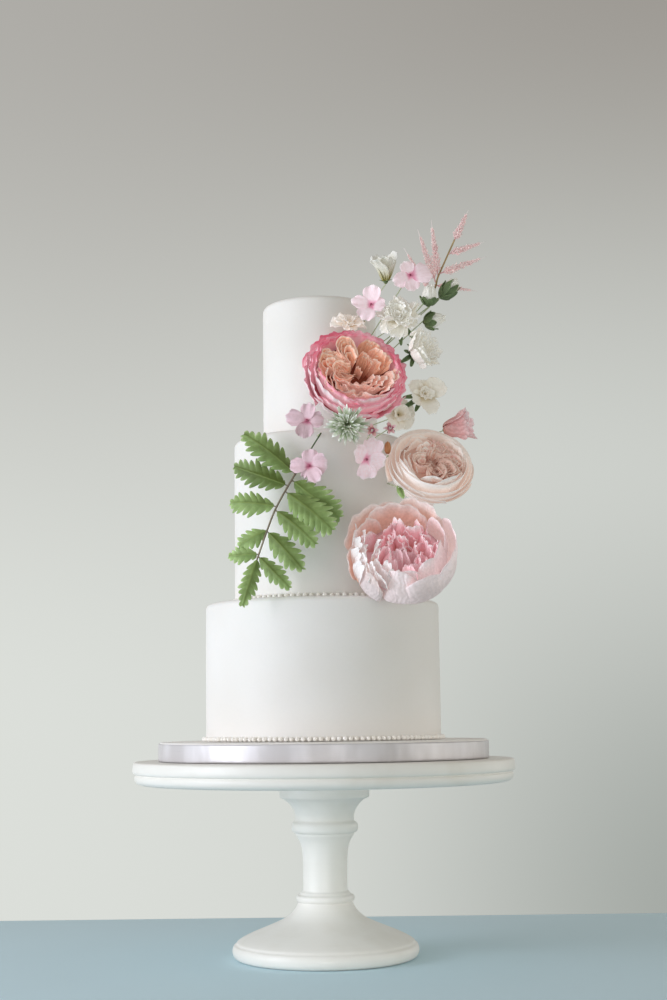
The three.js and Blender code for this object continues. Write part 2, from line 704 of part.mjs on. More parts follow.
const WHITE = { petals: 5, reach: 15.5, rise: 5, neck: 3, frill: 0.7, notch: 0.3 };
add('blossom_white_full', blossom({
  ...WHITE, at: [70, -54, 541], aim: [-0.1, -0.8, 0.4], spin: 0.2, foot: topWall(-36, 526),
  petals: 6, reach: 20, rise: 13, notch: 0.15, belly: 0.2,
}), FINISH.white);
add('blossom_white_side', blossom({
  ...WHITE, at: [83, -54, 512], aim: [0.72, -0.66, 0.22], spin: 0.1, foot: topWall(-14, 497),
  reach: 16, rise: 12, notch: 0.2,
}), FINISH.white);
add('blossom_white_open', blossom({
  ...WHITE, at: [89, -57, 474.5], aim: [0.35, -0.9, 0.1], spin: 0.5, foot: topWall(-14, 478),
  reach: 18.5,
}), FINISH.white);
add('blossom_white_low', blossom({
  ...WHITE, at: [67, -55, 457.5], aim: [0.3, -0.92, 0.1], spin: 0.2, foot: topWall(-34, 453),
  reach: 14,
}), FINISH.white);
add('blossom_white_tall', blossom({
  ...WHITE, at: [58.6, -50, 578], aim: [-0.05, -0.35, 0.92], spin: 0.3, foot: topWall(-40, 552),
  petals: 4, reach: 13, rise: 20, notch: 0.16, dip: 5, belly: 0.45,
}), FINISH.white);
add('blossom_cream', blossom({
  ...WHITE, at: [27, -57.5, 540.3], aim: [0.1, -0.65, 0.75], spin: 0.6, foot: topWall(-62, 535),
  reach: 14.5,
}), FINISH.white);

add('bud_front', bud({
  from: [95, -52, 554], to: [97, -57, 571], radius: 6, foot: topWall(-27, 515),
}), FINISH.bud);
add('bud_upper', bud({
  from: [106, -46, 563], to: [122, -48, 578], radius: 6.2, foot: topWall(-18, 526),
}), FINISH.bud);
add('bud_side', bud({
  from: [91, -47, 541], to: [108, -49, 543.5], radius: 6, foot: topWall(-16, 511),
}), FINISH.bud);
add('bud_pink', pinkBud(), FINISH.pink);
add('bud_peach', bud({
  from: [56.6, -82, 419], to: [57, -83.6, 430], radius: 2.2, foot: middleWall(-56, 414),
}), FINISH.peach);
add('head_green', greenHead(), FINISH.sage);
add('floret_left', tinyFloret({
  at: [43.5, -97, 436.5], foot: middleWall(-60, 432), spin: 0.2,
}), FINISH.white);
add('floret_right', tinyFloret({
  at: [58.6, -91, 439.5], foot: middleWall(-54, 436), spin: 0.6,
}), FINISH.white);

add('leaf_spray', leafSpray(), FINISH.leaf);
add('leaf_small', fuse([
  leaf({ base: [64.5, -87, 391], tip: [69.1, -94, 379.4], width: 2.6, teeth: 2, arch: 0.02 }),
  wire([64.9, -87.4, 390], middleWall(-42, 399)),
]), FINISH.leaf);
add('plume_pink', plume(), FINISH.plume);

export default cake;
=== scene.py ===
import logging
import math
from dataclasses import dataclass
from enum import Enum
from typing import Any, Dict, List, Optional, Sequence, Tuple, Union

import bpy
import numpy as np
from mathutils import Matrix, Vector

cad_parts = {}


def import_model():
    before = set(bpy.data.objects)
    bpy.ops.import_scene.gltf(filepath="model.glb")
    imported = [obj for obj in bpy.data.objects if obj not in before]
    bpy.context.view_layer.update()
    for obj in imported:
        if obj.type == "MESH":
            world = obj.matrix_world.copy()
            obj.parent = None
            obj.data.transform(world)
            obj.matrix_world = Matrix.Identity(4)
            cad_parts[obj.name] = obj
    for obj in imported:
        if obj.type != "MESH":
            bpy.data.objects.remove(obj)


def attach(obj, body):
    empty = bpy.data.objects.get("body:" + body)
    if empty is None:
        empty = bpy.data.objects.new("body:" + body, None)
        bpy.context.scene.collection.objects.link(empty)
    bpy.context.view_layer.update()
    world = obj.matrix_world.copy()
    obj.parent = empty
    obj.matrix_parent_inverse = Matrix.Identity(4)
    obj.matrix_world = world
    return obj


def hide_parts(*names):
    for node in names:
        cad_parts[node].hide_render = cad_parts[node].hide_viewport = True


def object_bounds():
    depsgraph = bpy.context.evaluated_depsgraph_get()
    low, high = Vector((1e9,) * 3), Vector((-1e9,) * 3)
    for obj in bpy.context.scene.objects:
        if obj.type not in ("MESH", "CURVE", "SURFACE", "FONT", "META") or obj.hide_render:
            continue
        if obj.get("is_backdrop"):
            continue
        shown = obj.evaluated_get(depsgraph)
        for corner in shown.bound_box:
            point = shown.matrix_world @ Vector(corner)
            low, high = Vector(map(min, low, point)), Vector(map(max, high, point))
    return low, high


Array = np.ndarray
Pair = Tuple[float, float]
Triple = Tuple[float, float, float]
Places = Tuple[Tuple[float, ...], ...]

LOG = logging.getLogger("tiered_cake")
MM = 0.001  # sizes below are in millimetres, the meshes in metres
TURN = 2 * math.pi
WALL_GAP = 0.94  # axis of a wire where it meets a tier, out from the wall


# ---- small helpers ---------------------------------------------------------------------

def unit(vectors: Array) -> Array:
    """Vectors divided by their lengths."""
    return vectors / np.maximum(np.linalg.norm(vectors, axis=-1, keepdims=True), 1e-9)


def ease(value: Array, low: float, high: float) -> Array:
    """Smooth step from 0 at low to 1 at high: 3t squared less 2t cubed."""
    t = np.clip((value - low) / (high - low), 0, 1)
    return t * t * (3 - 2 * t)


def turned(radius: Any, angle: Any, height: Any) -> Array:
    """Points at a radius, an angle and a height: radius times cosine and sine, then height."""
    return np.stack(np.broadcast_arrays(
        radius * np.cos(angle), radius * np.sin(angle), height), -1)


def chances(seed: int, n: int, count: int, spread: float = 1.0) -> Tuple[List[Array], Array]:
    """Random draws for a row of sheets.

    Args:
        seed: seed of the draws.
        n: number of sheets.
        count: how many values each sheet has.
        spread: the values run from minus this to this.

    Returns:
        The values, one array for each of the count, and the sheets' tints from 0 to 1.
    """
    rng = np.random.default_rng(seed)
    draw = [rng.uniform(-1, 1, (n, 1, 1)) * spread for _ in range(count)]
    return draw, rng.uniform(0, 1, n)


def paint(code: str) -> Tuple[float, float, float, float]:
    """Linear colour of a display-referred code.

    Args:
        code: red, green and blue as #rrggbb.

    Returns:
        Red, green, blue and alpha.
    """
    parts = [int(code[k:k + 2], 16) / 255 for k in (1, 3, 5)]
    linear = [p / 12.92 if p <= 0.04045 else ((p + 0.055) / 1.055) ** 2.4 for p in parts]
    return (linear[0], linear[1], linear[2], 1.0)


def spline(knots: Sequence[Triple], count: int) -> Array:
    """Smooth path through knots: Catmull-Rom cubic pieces, with the ends repeated.

    Args:
        knots: points in millimetres, two or more.
        count: number of points on the path.

    Returns:
        Array of count points.
    """
    p = np.asarray(knots, float)
    p = np.vstack([2 * p[0] - p[1], p, 2 * p[-1] - p[-2]])
    s = np.linspace(0, len(knots) - 1 - 1e-6, count)
    k = s.astype(int)
    t = (s - k)[:, None]
    a, b, c, d = p[k], p[k + 1], p[k + 2], p[k + 3]
    return 0.5 * (2 * b + (c - a) * t + (2 * a - 5 * b + 4 * c - d) * t ** 2
                  + (3 * b - a - 3 * c + d) * t ** 3)


def rounded(profile: Sequence[Pair], passes: int = 2) -> Array:
    """Profile with its corners cut: each edge keeps its quarter and three-quarter points.

    Args:
        profile: radius and height pairs.
        passes: how many times the corners are cut.

    Returns:
        The finer profile, with both of its ends kept.
    """
    line = np.asarray(profile, float)
    for _ in range(passes):
        a, b = line[:-1], line[1:]
        cut = np.stack([0.75 * a + 0.25 * b, 0.25 * a + 0.75 * b], 1).reshape(-1, 2)
        line = np.vstack([line[:1], cut, line[-1:]])
    return line


# ---- surfaces --------------------------------------------------------------------------

@dataclass
class Surface:
    """Points and faces of a shape, with what its finish reads at each point."""

    points: Array
    quads: Array
    tris: Optional[Array] = None
    uv: Optional[Array] = None
    side: Optional[Array] = None
    tint: Optional[Array] = None

    def __post_init__(self) -> None:
        """Put faces one a row, and zeros for whatever is left out."""
        self.points = self.points.reshape(-1, 3)
        n = len(self.points)
        blanks = {"tris": np.zeros((0, 3), int), "uv": np.zeros((n, 2)),
                  "side": np.zeros(n), "tint": np.zeros(n)}
        for key, blank in blanks.items():
            if getattr(self, key) is None:
                setattr(self, key, blank)
        self.quads, self.tris = self.quads.reshape(-1, 4), self.tris.reshape(-1, 3)

    @staticmethod
    def join(parts: Sequence["Surface"]) -> "Surface":
        """One surface of several: their points in a row, the faces renumbered to match.

        Args:
            parts: the surfaces.

        Returns:
            The joined surface.
        """
        starts = np.cumsum([0] + [len(p.points) for p in parts[:-1]])
        faces = [np.concatenate([getattr(p, key) + s for p, s in zip(parts, starts)])
                 for key in ("quads", "tris")]
        points, *marks = [np.concatenate([getattr(p, key) for p in parts])
                          for key in ("points", "uv", "side", "tint")]
        return Surface(points, *faces, *marks)


def sheets(grids: Array, thick: float, tints: Array, thin_edge: float = 0.7) -> Surface:
    """Thin closed sheets from a batch of grids.

    Each point is moved half the thickness along the cross product of the two grid
    directions, once each way. Towards the border the thickness falls with the eighth
    power of the distance from the middle. The two layers are stitched round the border.

    Args:
        grids: array of sheets by rows by columns by 3.
        thick: thickness in the middle.
        tints: one value from 0 to 1 for each sheet.
        thin_edge: share of the thickness lost at the border.

    Returns:
        The sheets as one surface; side is 1 on the layer that the cross product points to.
    """
    n, rows, cols, _ = grids.shape
    size = rows * cols
    normal = unit(np.cross(np.gradient(grids, axis=1), np.gradient(grids, axis=2)))
    u = np.linspace(-1, 1, rows)[:, None]
    v = np.linspace(0, 1, cols)[None, :]
    fall = 1 - thin_edge * np.maximum(np.abs(u), v) ** 8
    shift = normal * (0.5 * thick * fall)[None, :, :, None]
    at = np.arange(size).reshape(rows, cols)
    face = np.stack([at[:-1, :-1], at[1:, :-1], at[1:, 1:], at[:-1, 1:]], -1).reshape(-1, 4)
    loop = np.concatenate([at[:-1, 0], at[-1, :-1], at[:0:-1, -1], at[0, :0:-1]])
    after = np.roll(loop, -1)
    wall = np.stack([after, loop, loop + size, after + size], -1)
    one = np.concatenate([face, face[:, ::-1] + size, wall])
    uv = np.stack(np.broadcast_arrays(0.5 + 0.5 * u, v), -1).reshape(-1, 2)
    return Surface(np.stack([grids + shift, grids - shift], 1),
                   one[None] + 2 * size * np.arange(n)[:, None, None],
                   uv=np.tile(uv, (n * 2, 1)), side=np.tile(np.repeat([1.0, 0.0], size), n),
                   tint=np.repeat(tints, 2 * size))


def skin(rings: Array, ends: Sequence[Any], run: Optional[Array] = None) -> Surface:
    """Limb through a stack of rings, closed at both ends by a fan of triangles.

    Args:
        rings: array of rings by points by 3, from the foot up.
        ends: middle point of the first fan and of the last.
        run: place along the limb, kept in the second part of the map, one a ring.

    Returns:
        The closed limb.
    """
    rows, count = rings.shape[:2]
    at = np.arange(rows * count).reshape(rows, count)
    after = np.roll(at, -1, 1)
    tip = np.full(count, at.size)
    made = Surface(np.vstack([rings.reshape(-1, 3), ends]),
                   np.stack([at[:-1], after[:-1], after[1:], at[1:]], -1),
                   np.vstack([np.stack([tip, after[0], at[0]], -1),
                              np.stack([tip + 1, at[-1], after[-1]], -1)]))
    if run is not None:
        made.uv[:-2] = np.stack([np.tile(np.linspace(0, 1, count), rows),
                                 np.repeat(run, count)], -1)
        made.uv[-1, 1] = 1
    return made


def revolve(profile: Array, segments: int, sway: float = 0.0) -> Surface:
    """Closed shape turned about the Z axis: radius times cosine and sine of the angle.

    Args:
        profile: radius and height pairs from the bottom up.
        segments: number of steps round the axis.
        sway: unevenness of the radius in millimetres, three slow waves round and up.

    Returns:
        The turned surface, closed at both ends by a fan to the axis.
    """
    angle = np.linspace(0, TURN, segments, endpoint=False)[None, :]
    radius, height = profile[:, :1], profile[:, 1:]
    uneven = sway * (np.sin(2 * angle + height / 31) + np.sin(3 * angle - height / 19)
                     + 0.5 * np.sin(7 * angle + height / 11))
    return skin(turned(radius + uneven * (radius > 1), angle, height),
                [(0, 0, profile[0, 1]), (0, 0, profile[-1, 1])])


def tube(path: Array, radii: Union[float, Array], sides: int) -> Surface:
    """Round limb along a path: a circle square to the heading at each point.

    Args:
        path: points of the middle line.
        radii: radius, one for all points or one each.
        sides: points on each circle.

    Returns:
        The limb, closed at both ends by a fan.
    """
    heading = unit(np.gradient(path, axis=0))
    guide = np.eye(3)[np.argmin(np.abs(path[-1] - path[0]))]
    u = unit(np.cross(guide, heading))
    v = np.cross(heading, u)
    angle = np.linspace(0, TURN, sides, endpoint=False)[None, :, None]
    radius = np.broadcast_to(np.asarray(radii, float), (len(path),))[:, None, None]
    rim = path[:, None] + radius * (u[:, None] * np.cos(angle) + v[:, None] * np.sin(angle))
    return skin(rim, [path[0], path[-1]], np.linspace(0, 1, len(path)))


def ball(rings: int, segments: int) -> Surface:
    """Unit ball, closed by a fan at each pole.

    Args:
        rings: circles of latitude.
        segments: points on each.

    Returns:
        The ball.
    """
    polar = np.linspace(-1, 1, rings + 2)[1:-1] * math.pi / 2
    made = revolve(np.stack([np.cos(polar), np.sin(polar)], -1), segments)
    made.points[-2:, 2] = (-1, 1)
    return made


def spindle(sides: int, belly: float = 0.38) -> Surface:
    """Slender closed seed shape one unit long along Z, widest at belly, for scattering."""
    ring = turned(1, np.linspace(0, TURN, sides, endpoint=False), belly)
    return skin(ring[None], [(0, 0, 0), (0, 0, 1)])


def scatter(shape: Surface, centres: Array, bases: Array, tints: Array) -> Surface:
    """Copies of a small shape: each point times the copy's three axes plus its centre.

    Args:
        shape: the small shape about the origin.
        centres: one centre a copy.
        bases: one 3 by 3 array a copy, whose rows are its scaled axes.
        tints: one value from 0 to 1 a copy.

    Returns:
        All copies as one surface.
    """
    n, m = len(centres), len(shape.points)
    points = np.einsum("pj,njk->npk", shape.points, bases) + centres[:, None]
    step = m * np.arange(n)[:, None, None]
    return Surface(points, shape.quads[None] + step, shape.tris[None] + step,
                   uv=np.tile(shape.points[:, [0, 2]], (n, 1)), tint=np.repeat(tints, m))


@dataclass(frozen=True)
class Placing:
    """Where a flower stands: the middle of its foot, the way it faces, a turn about that."""

    at: Triple
    aim: Triple
    spin: float = 0.0

    def axes(self) -> Array:
        """Axes of the flower, turned about its aim by the spin.

        Returns:
            Rows that are its x, y and z in the cake's frame.
        """
        z = unit(np.array(self.aim, float))
        x = unit(np.cross([0.0, 0.0, 1.0], z))
        y = np.cross(z, x)
        u = x * math.cos(self.spin) + y * math.sin(self.spin)
        return np.stack([u, np.cross(z, u), z])

    def point(self, local: Any) -> Array:
        """One or more points of the flower's own frame in the cake's."""
        return np.asarray(local, float) @ self.axes() + np.array(self.at)

    def put(self, surface: Surface) -> Surface:
        """Surface moved from the flower's own frame to the cake's."""
        surface.points = self.point(surface.points)
        return surface


# ---- petals ----------------------------------------------------------------------------

@dataclass(frozen=True)
class Wrap:
    """Row of broad petals that wrap a flower, each from a foot ring up to the rim.

    A place is a petal's angle, its half-angle, its share of reach and of rise, its curl.
    Without places the petals are alike and stand evenly.
    """

    reach: float
    rise: float
    foot: Pair
    petals: int = 1
    spread: float = 1.25
    turn: float = 0.0
    step: float = 2.0
    dip: float = 12.0
    arch: float = 3.0
    curl: float = 1.5
    frill: float = 0.0
    waves: float = 14.0
    swell: float = 0.8
    climb: float = 1.15
    slant: float = 0.0
    spin: float = 0.0
    thick: float = 0.8
    jitter: float = 1.0
    seed: int = 1
    places: Places = ()
    grid: Tuple[int, int] = (49, 21)

    def build(self) -> Surface:
        """Sheets of the row in the flower's own frame.

        With u from -1 to 1 across a petal and v from 0 to 1 up it, the angle is the
        petal's own angle plus u times a half-angle that widens with v. The radius grows
        with a power of the sine of v times 90 degrees and the height with a power of one
        less its cosine. The rim falls to the petal's sides as a rounded corner does, steps
        outward along u, waves, and its last part rolls out. Slant raises the side of the
        rim that faces up.

        Returns:
            The petals, side 1 on their backs.
        """
        spots = np.array(self.places or [
            (360 * (k + self.turn) / self.petals, 180 / self.petals * self.spread, 1, 1,
             self.curl) for k in range(self.petals)], float)[:, :, None, None]
        draw, tints = chances(self.seed, len(spots), 6, self.jitter)
        u = np.sin(np.linspace(-math.pi / 2, math.pi / 2, self.grid[0]))[None, :, None]
        v = np.linspace(0, 1, self.grid[1])[None, None, :]
        home = np.radians(spots[:, 0] - math.degrees(self.spin)) + 0.05 * draw[0]
        half = np.radians(spots[:, 1]) * (1 + 0.08 * draw[1])
        reach, rise, curl = self.reach * spots[:, 2], self.rise * spots[:, 3], spots[:, 4]
        edge = 1 - (1 - np.abs(u) ** self.arch) ** (1 / self.arch)
        up = v * (1 - self.dip / self.rise * edge)
        angle = home + half * u * (0.45 + 0.55 * np.sin(up * math.pi / 2) ** 0.7)
        out = np.sin(up * math.pi / 2) ** self.swell
        lift = (1 - np.cos(up * math.pi / 2)) ** self.climb
        wave = self.frill * v ** 4 * (
            np.sin(self.waves * angle + 3 * draw[2])
            + 0.6 * np.sin(1.9 * self.waves * angle + 5 * draw[3])
            + 0.5 * np.sin(0.43 * self.waves * angle + 4 * draw[0]))
        roll = ease(v, 0.62 - 0.2 * (curl < -5), 1.06) * curl * (1 + 0.25 * draw[4])
        radius = (self.foot[0] + (reach - self.foot[0]) * out + self.step * u * v
                  + wave + roll + 0.6 * draw[5] * v)
        height = (self.foot[1] + (rise * (1 + 0.04 * draw[3]) - self.foot[1]) * lift
                  - 0.35 * np.maximum(roll, 0) * v ** 3 + 0.5 * wave
                  + self.slant * lift * np.sin(angle + self.spin))
        return sheets(turned(radius, angle, height), self.thick, tints)


@dataclass(frozen=True)
class Whorl:
    """Ring of separate petals, sepals or bracts, each on its own middle line.

    A place is a petal's angle and its shares of length and width. Without places the
    petals are alike and stand evenly over the arc.
    """

    length: float
    width: float
    petals: int = 1
    root: float = 1.0
    lift: float = 0.0
    tilt: Pair = (20.0, 0.0)
    waist: float = 0.3
    full: float = 0.7
    blunt: float = 0.35
    cup: float = 0.0
    notch: float = 0.0
    frill: float = 0.0
    waves: float = 3.0
    turn: float = 0.0
    jitter: float = 1.0
    twist: float = 0.0
    thick: float = 0.6
    seed: int = 1
    arc: Pair = (0.0, 360.0)
    places: Places = ()
    spin: float = 0.0
    ragged: float = 0.0
    grid: Tuple[int, int] = (17, 17)

    def build(self) -> Surface:
        """Sheets of the ring in the flower's own frame.

        The middle line turns evenly from the first tilt to the second; its points are
        the running sums of cosine and sine. The half width is the width times a waist
        plus the rest times a power of a sine along the petal. The tip is rounded by
        shortening with a power of u, notched at its middle, made ragged by two sines of
        u, cupped with u squared and frilled with a sine across.

        Returns:
            The petals, side 1 on their backs.
        """
        pitch = (self.arc[1] - self.arc[0]) / self.petals
        spots = np.array(self.places or [
            (self.arc[0] + pitch * (k + self.turn), 1, 1) for k in range(self.petals)],
            float)[:, :, None, None]
        draw, tints = chances(self.seed, len(spots), 7, self.jitter)
        u = np.linspace(-1, 1, self.grid[0])[None, :, None]
        v = np.linspace(0, 1, self.grid[1])[None, None, :]
        low, high = (math.radians(t) for t in self.tilt)
        lean = low + 0.14 * draw[0] + (high - low + 0.3 * draw[1]) * v
        size = self.length * spots[:, 1] * (1 + 0.1 * draw[2])
        step = size / (self.grid[1] - 1)
        far, tall = (np.cumsum(way, -1) * step - way[..., :1] * step
                     for way in (np.cos(lean), np.sin(lean)))
        shape = self.waist + (1 - self.waist) * np.sin(
            math.pi * self.full * np.maximum(v, 1e-4) ** 0.8) ** 0.8
        half = self.width * spots[:, 2] * (1 + 0.12 * draw[3]) * shape
        back = size * v ** 3 * (self.blunt * np.abs(u) ** 2.6
                                + self.notch * np.clip(1 - 2.2 * np.abs(u), 0, 1) ** 1.5)
        back = back + self.ragged * v ** 4 * (
            1 + np.sin(11 * u + 6 * draw[4]) * np.sin(19 * u + 5 * draw[5]))
        offset = (self.cup * u ** 2 * np.sin(math.pi * np.minimum(v + 0.15, 1) * 0.75)
                  + self.frill * v ** 2.5 * (0.35 + np.abs(u)) * np.sin(
                      self.waves * math.pi * u + 4 * draw[4]))
        offset = offset + 0.5 * self.twist * draw[5] * half * u * v
        away = far - back * np.cos(lean) - offset * np.sin(lean) + self.root
        height = tall - back * np.sin(lean) + offset * np.cos(lean) + self.lift
        across = half * u
        loose = 0.04 if self.places else 0.2 * math.radians(pitch)
        home = np.radians(spots[:, 0]) - self.spin + loose * draw[6]
        grids = np.stack([away * np.cos(home) - across * np.sin(home),
                          away * np.sin(home) + across * np.cos(home),
                          height + 0 * across], -1)
        return sheets(grids, self.thick, tints)


@dataclass(frozen=True)
class Fold:
    """Quarter of a rose's heart: nested petals folded like hairpins about one direction."""

    angle: float
    width: float
    reach: float
    crest: float
    layers: int
    ruffle: float
    waves: float
    lean: float
    heart: float
    seed: int
    curl: float = 1.2
    swirl: float = 0.3
    depth: float = 14.0
    inner: float = 2.5
    point: float = 0.55
    sway: float = 0.7
    thick: float = 0.6
    grid: Tuple[int, int] = (57, 11)

    def build(self) -> Surface:
        """Sheets of the fold in the flower's own frame.

        Along a hairpin s runs from 0 to 1: the angle swings with the cosine of 180
        degrees times s and the radius goes out and back with a power of its sine, with a
        swirl added towards the middle. Each next layer is shorter and narrower. The sheet
        stands on that line from its crest down to its foot; the crest leans outward with
        the square of the height, ruffles, and its last part curls over.

        Returns:
            The layers, side 1 on the outside of each hairpin.
        """
        n = self.layers
        k = np.arange(n)[:, None, None]
        draw, tints = chances(self.seed, n, 6)
        s = np.linspace(0.04, 0.96, self.grid[0])[None, :, None]
        t = np.linspace(1, 0, self.grid[1])[None, None, :]
        share = np.clip(1 - 0.84 * k / n + 0.05 * draw[4] * (k > 0), 0.14, 1)
        bow = np.sin(math.pi * s)
        swing = math.radians(self.width) * share ** 0.8 * (1 + 0.16 * draw[0])
        home = math.radians(self.angle) + 0.3 * (1 - share) * swing * draw[1]
        reach = self.inner + (self.reach - self.inner) * share ** 0.55
        radius = self.inner + (reach - self.inner) * bow ** self.point
        angle = (home + swing * np.cos(math.pi * s)
                 + self.swirl * (1 - radius / self.reach) ** 1.5)
        x, y = radius * np.cos(angle), radius * np.sin(angle)
        dx, dy = np.gradient(x, axis=1), np.gradient(y, axis=1)
        size = np.maximum(np.hypot(dx, dy), 1e-6)
        high = 1 - t
        wave = self.ruffle * high ** 1.3 * (
            np.sin(self.waves * math.pi * s + 4 * draw[2])
            + 0.6 * np.sin(2.1 * self.waves * math.pi * s + 6 * draw[3]))
        drift = self.sway * bow ** 0.5 * np.sin((2.6 + draw[5]) * math.pi * s + 6 * draw[0])
        out = self.lean * high ** 2 + self.curl * high ** 5 + wave + drift
        crest = (self.crest - self.heart * (1 - radius / self.reach) ** 1.4
                 + 1.5 * draw[4] + 0.6 * wave - 0.7 * self.curl * high ** 9
                 + 1.1 * np.sin(3.3 * s + 5 * draw[5]) + 0.4 * np.sin(41 * s + 6 * draw[0]))
        grids = np.stack([x - dy / size * out, y + dx / size * out,
                          crest - self.depth * t + 0 * out], -1)
        return sheets(grids[:, ::-1], self.thick, tints)


@dataclass(frozen=True)
class Dish:
    """Shallow closed dish under a flower's heart, its height growing with radius squared."""

    reach: float
    low: float
    high: float
    level: float = 0.7
    side: float = 0.0
    foot: float = 3.0
    thick: float = 1.2

    def build(self) -> Surface:
        """Under side and upper side; level and side are what the finish reads all over.

        Returns:
            The dish.
        """
        t, rise = np.linspace(0, 1, 9), self.high - self.low
        under = np.stack([self.foot + (self.reach - self.foot) * t,
                          self.low + rise * t ** 2], -1)
        over = np.stack([self.reach * (1 - t),
                         self.low + self.thick + rise * (1 - t) ** 2], -1)
        made = revolve(np.vstack([under, over[1:-1]]), 48)
        made.uv[:, 1] = self.level
        made.side[:] = self.side
        return made


# ---- shader maths and finishes -----------------------------------------------------------

class Flow:
    """A value socket that Python operators extend with Math nodes."""

    def __init__(self, shader: "Shader", socket: Any) -> None:
        """Keep the shader and the socket."""
        self.shader = shader
        self.socket = socket

    def math(self, operation: str, *others: Any) -> "Flow":
        """Math node on this value.

        Args:
            operation: its operation.
            others: the other values or numbers.

        Returns:
            The result.
        """
        made = self.shader.node("Math", dict(enumerate((self, *others))),
                                operation=operation)
        return Flow(self.shader, made.outputs[0])

    def __add__(self, other: Any) -> "Flow":
        """Sum."""
        return self.math("ADD", other)

    __radd__ = __add__

    def __sub__(self, other: Any) -> "Flow":
        """Difference."""
        return self.math("SUBTRACT", other)

    def __rsub__(self, other: Any) -> "Flow":
        """Number less this value."""
        return (self * -1) + other

    def __mul__(self, other: Any) -> "Flow":
        """Product."""
        return self.math("MULTIPLY", other)

    __rmul__ = __mul__

    def sine(self) -> "Flow":
        """Sine."""
        return self.math("SINE")

    def step(self, low: float, high: float) -> "Flow":
        """Smooth step.

        Args:
            low: value up to which it is 0.
            high: value from which it is 1.

        Returns:
            The step.
        """
        made = self.shader.node(
            "MapRange", {"Value": self, "From Min": low, "From Max": high},
            interpolation_type="SMOOTHSTEP")
        return Flow(self.shader, made.outputs[0])


class Shader:
    """Material or surroundings under construction: every node comes from one method."""

    def __init__(self, name: str, kind: str = "materials") -> None:
        """Start with no nodes.

        Args:
            name: name of the material or of the surroundings.
            kind: collection of Blender's data that it goes into.
        """
        self.made = getattr(bpy.data, kind).new(name)
        self.made.use_nodes = True
        self.tree = self.made.node_tree
        self.tree.nodes.clear()

    def node(self, kind: str, inputs: Optional[Dict[Any, Any]] = None,
             **settings: Any) -> Any:
        """One node.

        Args:
            kind: the shader node's type name.
            inputs: values or links of its sockets, by name or number.
            settings: its properties, set first.

        Returns:
            The node.
        """
        made = self.tree.nodes.new("ShaderNode" + kind)
        for key, value in settings.items():
            setattr(made, key, value)
        for key, value in (inputs or {}).items():
            value = value.socket if isinstance(value, Flow) else value
            if isinstance(value, bpy.types.NodeSocket):
                self.tree.links.new(value, made.inputs[key])
            else:
                made.inputs[key].default_value = value
        return made

    def place(self) -> Any:
        """Object coordinates, in metres."""
        return self.node("TexCoord").outputs["Object"]

    def parts(self, vector: Any) -> List[Flow]:
        """The three numbers of a vector."""
        made = self.node("SeparateXYZ", {0: vector})
        return [Flow(self, out) for out in made.outputs]

    def petal_map(self) -> List[Flow]:
        """Place across a petal and place from its foot to its rim, both 0 to 1."""
        return self.parts(self.node("UVMap", uv_map="petal").outputs[0])[:2]

    def value(self, name: str) -> Flow:
        """Number stored at the points of the mesh under this name."""
        return Flow(self, self.node("Attribute", attribute_name=name).outputs["Fac"])

    def noise(self, scale: float, detail: float, at: Any = None) -> Flow:
        """Soft noise.

        Args:
            scale: features a metre.
            detail: number of finer layers.
            at: coordinates, the object's own if left out.

        Returns:
            Value from 0 to 1.
        """
        made = self.node("TexNoise", {"Vector": self.place() if at is None else at,
                                      "Scale": scale, "Detail": detail})
        return Flow(self, made.outputs[0])

    def stretched(self, scale: Triple) -> Any:
        """Object coordinates stretched by three factors."""
        return self.node("Mapping", {"Vector": self.place(), "Scale": scale}).outputs[0]

    def mix(self, share: Any, first: Any, second: Any) -> Any:
        """Colour between two colours, each a code or a link."""
        first, second = (paint(c) if isinstance(c, str) else c for c in (first, second))
        return self.node("Mix", {0: share, 6: first, 7: second}, data_type="RGBA").outputs[2]

    def toned(self, colour: Any, value: Any, saturation: Any = 1.0) -> Any:
        """Colour with its brightness and saturation changed."""
        return self.node("HueSaturation", {
            "Color": colour, "Value": value, "Saturation": saturation}).outputs[0]

    def relief(self, height: Flow, distance: float) -> Any:
        """Normal of a bump of this height, distance in metres."""
        return self.node("Bump", {"Height": height, "Distance": distance,
                                  "Strength": 1.0}).outputs[0]

    def finish(self, inputs: Dict[str, Any]) -> Any:
        """End with a principled shader.

        Args:
            inputs: values or links of its sockets.

        Returns:
            The material.
        """
        surface = self.node("BsdfPrincipled", inputs)
        self.node("OutputMaterial", {"Surface": surface.outputs[0]})
        return self.made


@dataclass(frozen=True)
class IcingFinish:
    """Smooth rolled icing: even white, soft gloss, faint hand-smoothed waves."""

    name: str = "rolled_icing"
    body: str = "#f4f1ee"
    shade: str = "#ece8e3"

    def build(self) -> Any:
        """Even colour over slow waves.

        Returns:
            The material.
        """
        s = Shader(self.name)
        slow, grain = s.noise(9, 2), s.noise(420, 3)
        colour = s.mix(slow.step(0.3, 0.75), self.body, self.shade)
        return s.finish({
            "Base Color": s.toned(colour, 0.985 + grain * 0.03),
            "Roughness": 0.46 + slow * 0.16, "Specular IOR Level": 0.4,
            "Subsurface Weight": 0.08, "Subsurface Radius": (1.0, 0.85, 0.7),
            "Subsurface Scale": 0.002,
            "Normal": s.relief(slow * 0.8 + grain * 0.04, 0.0009)})


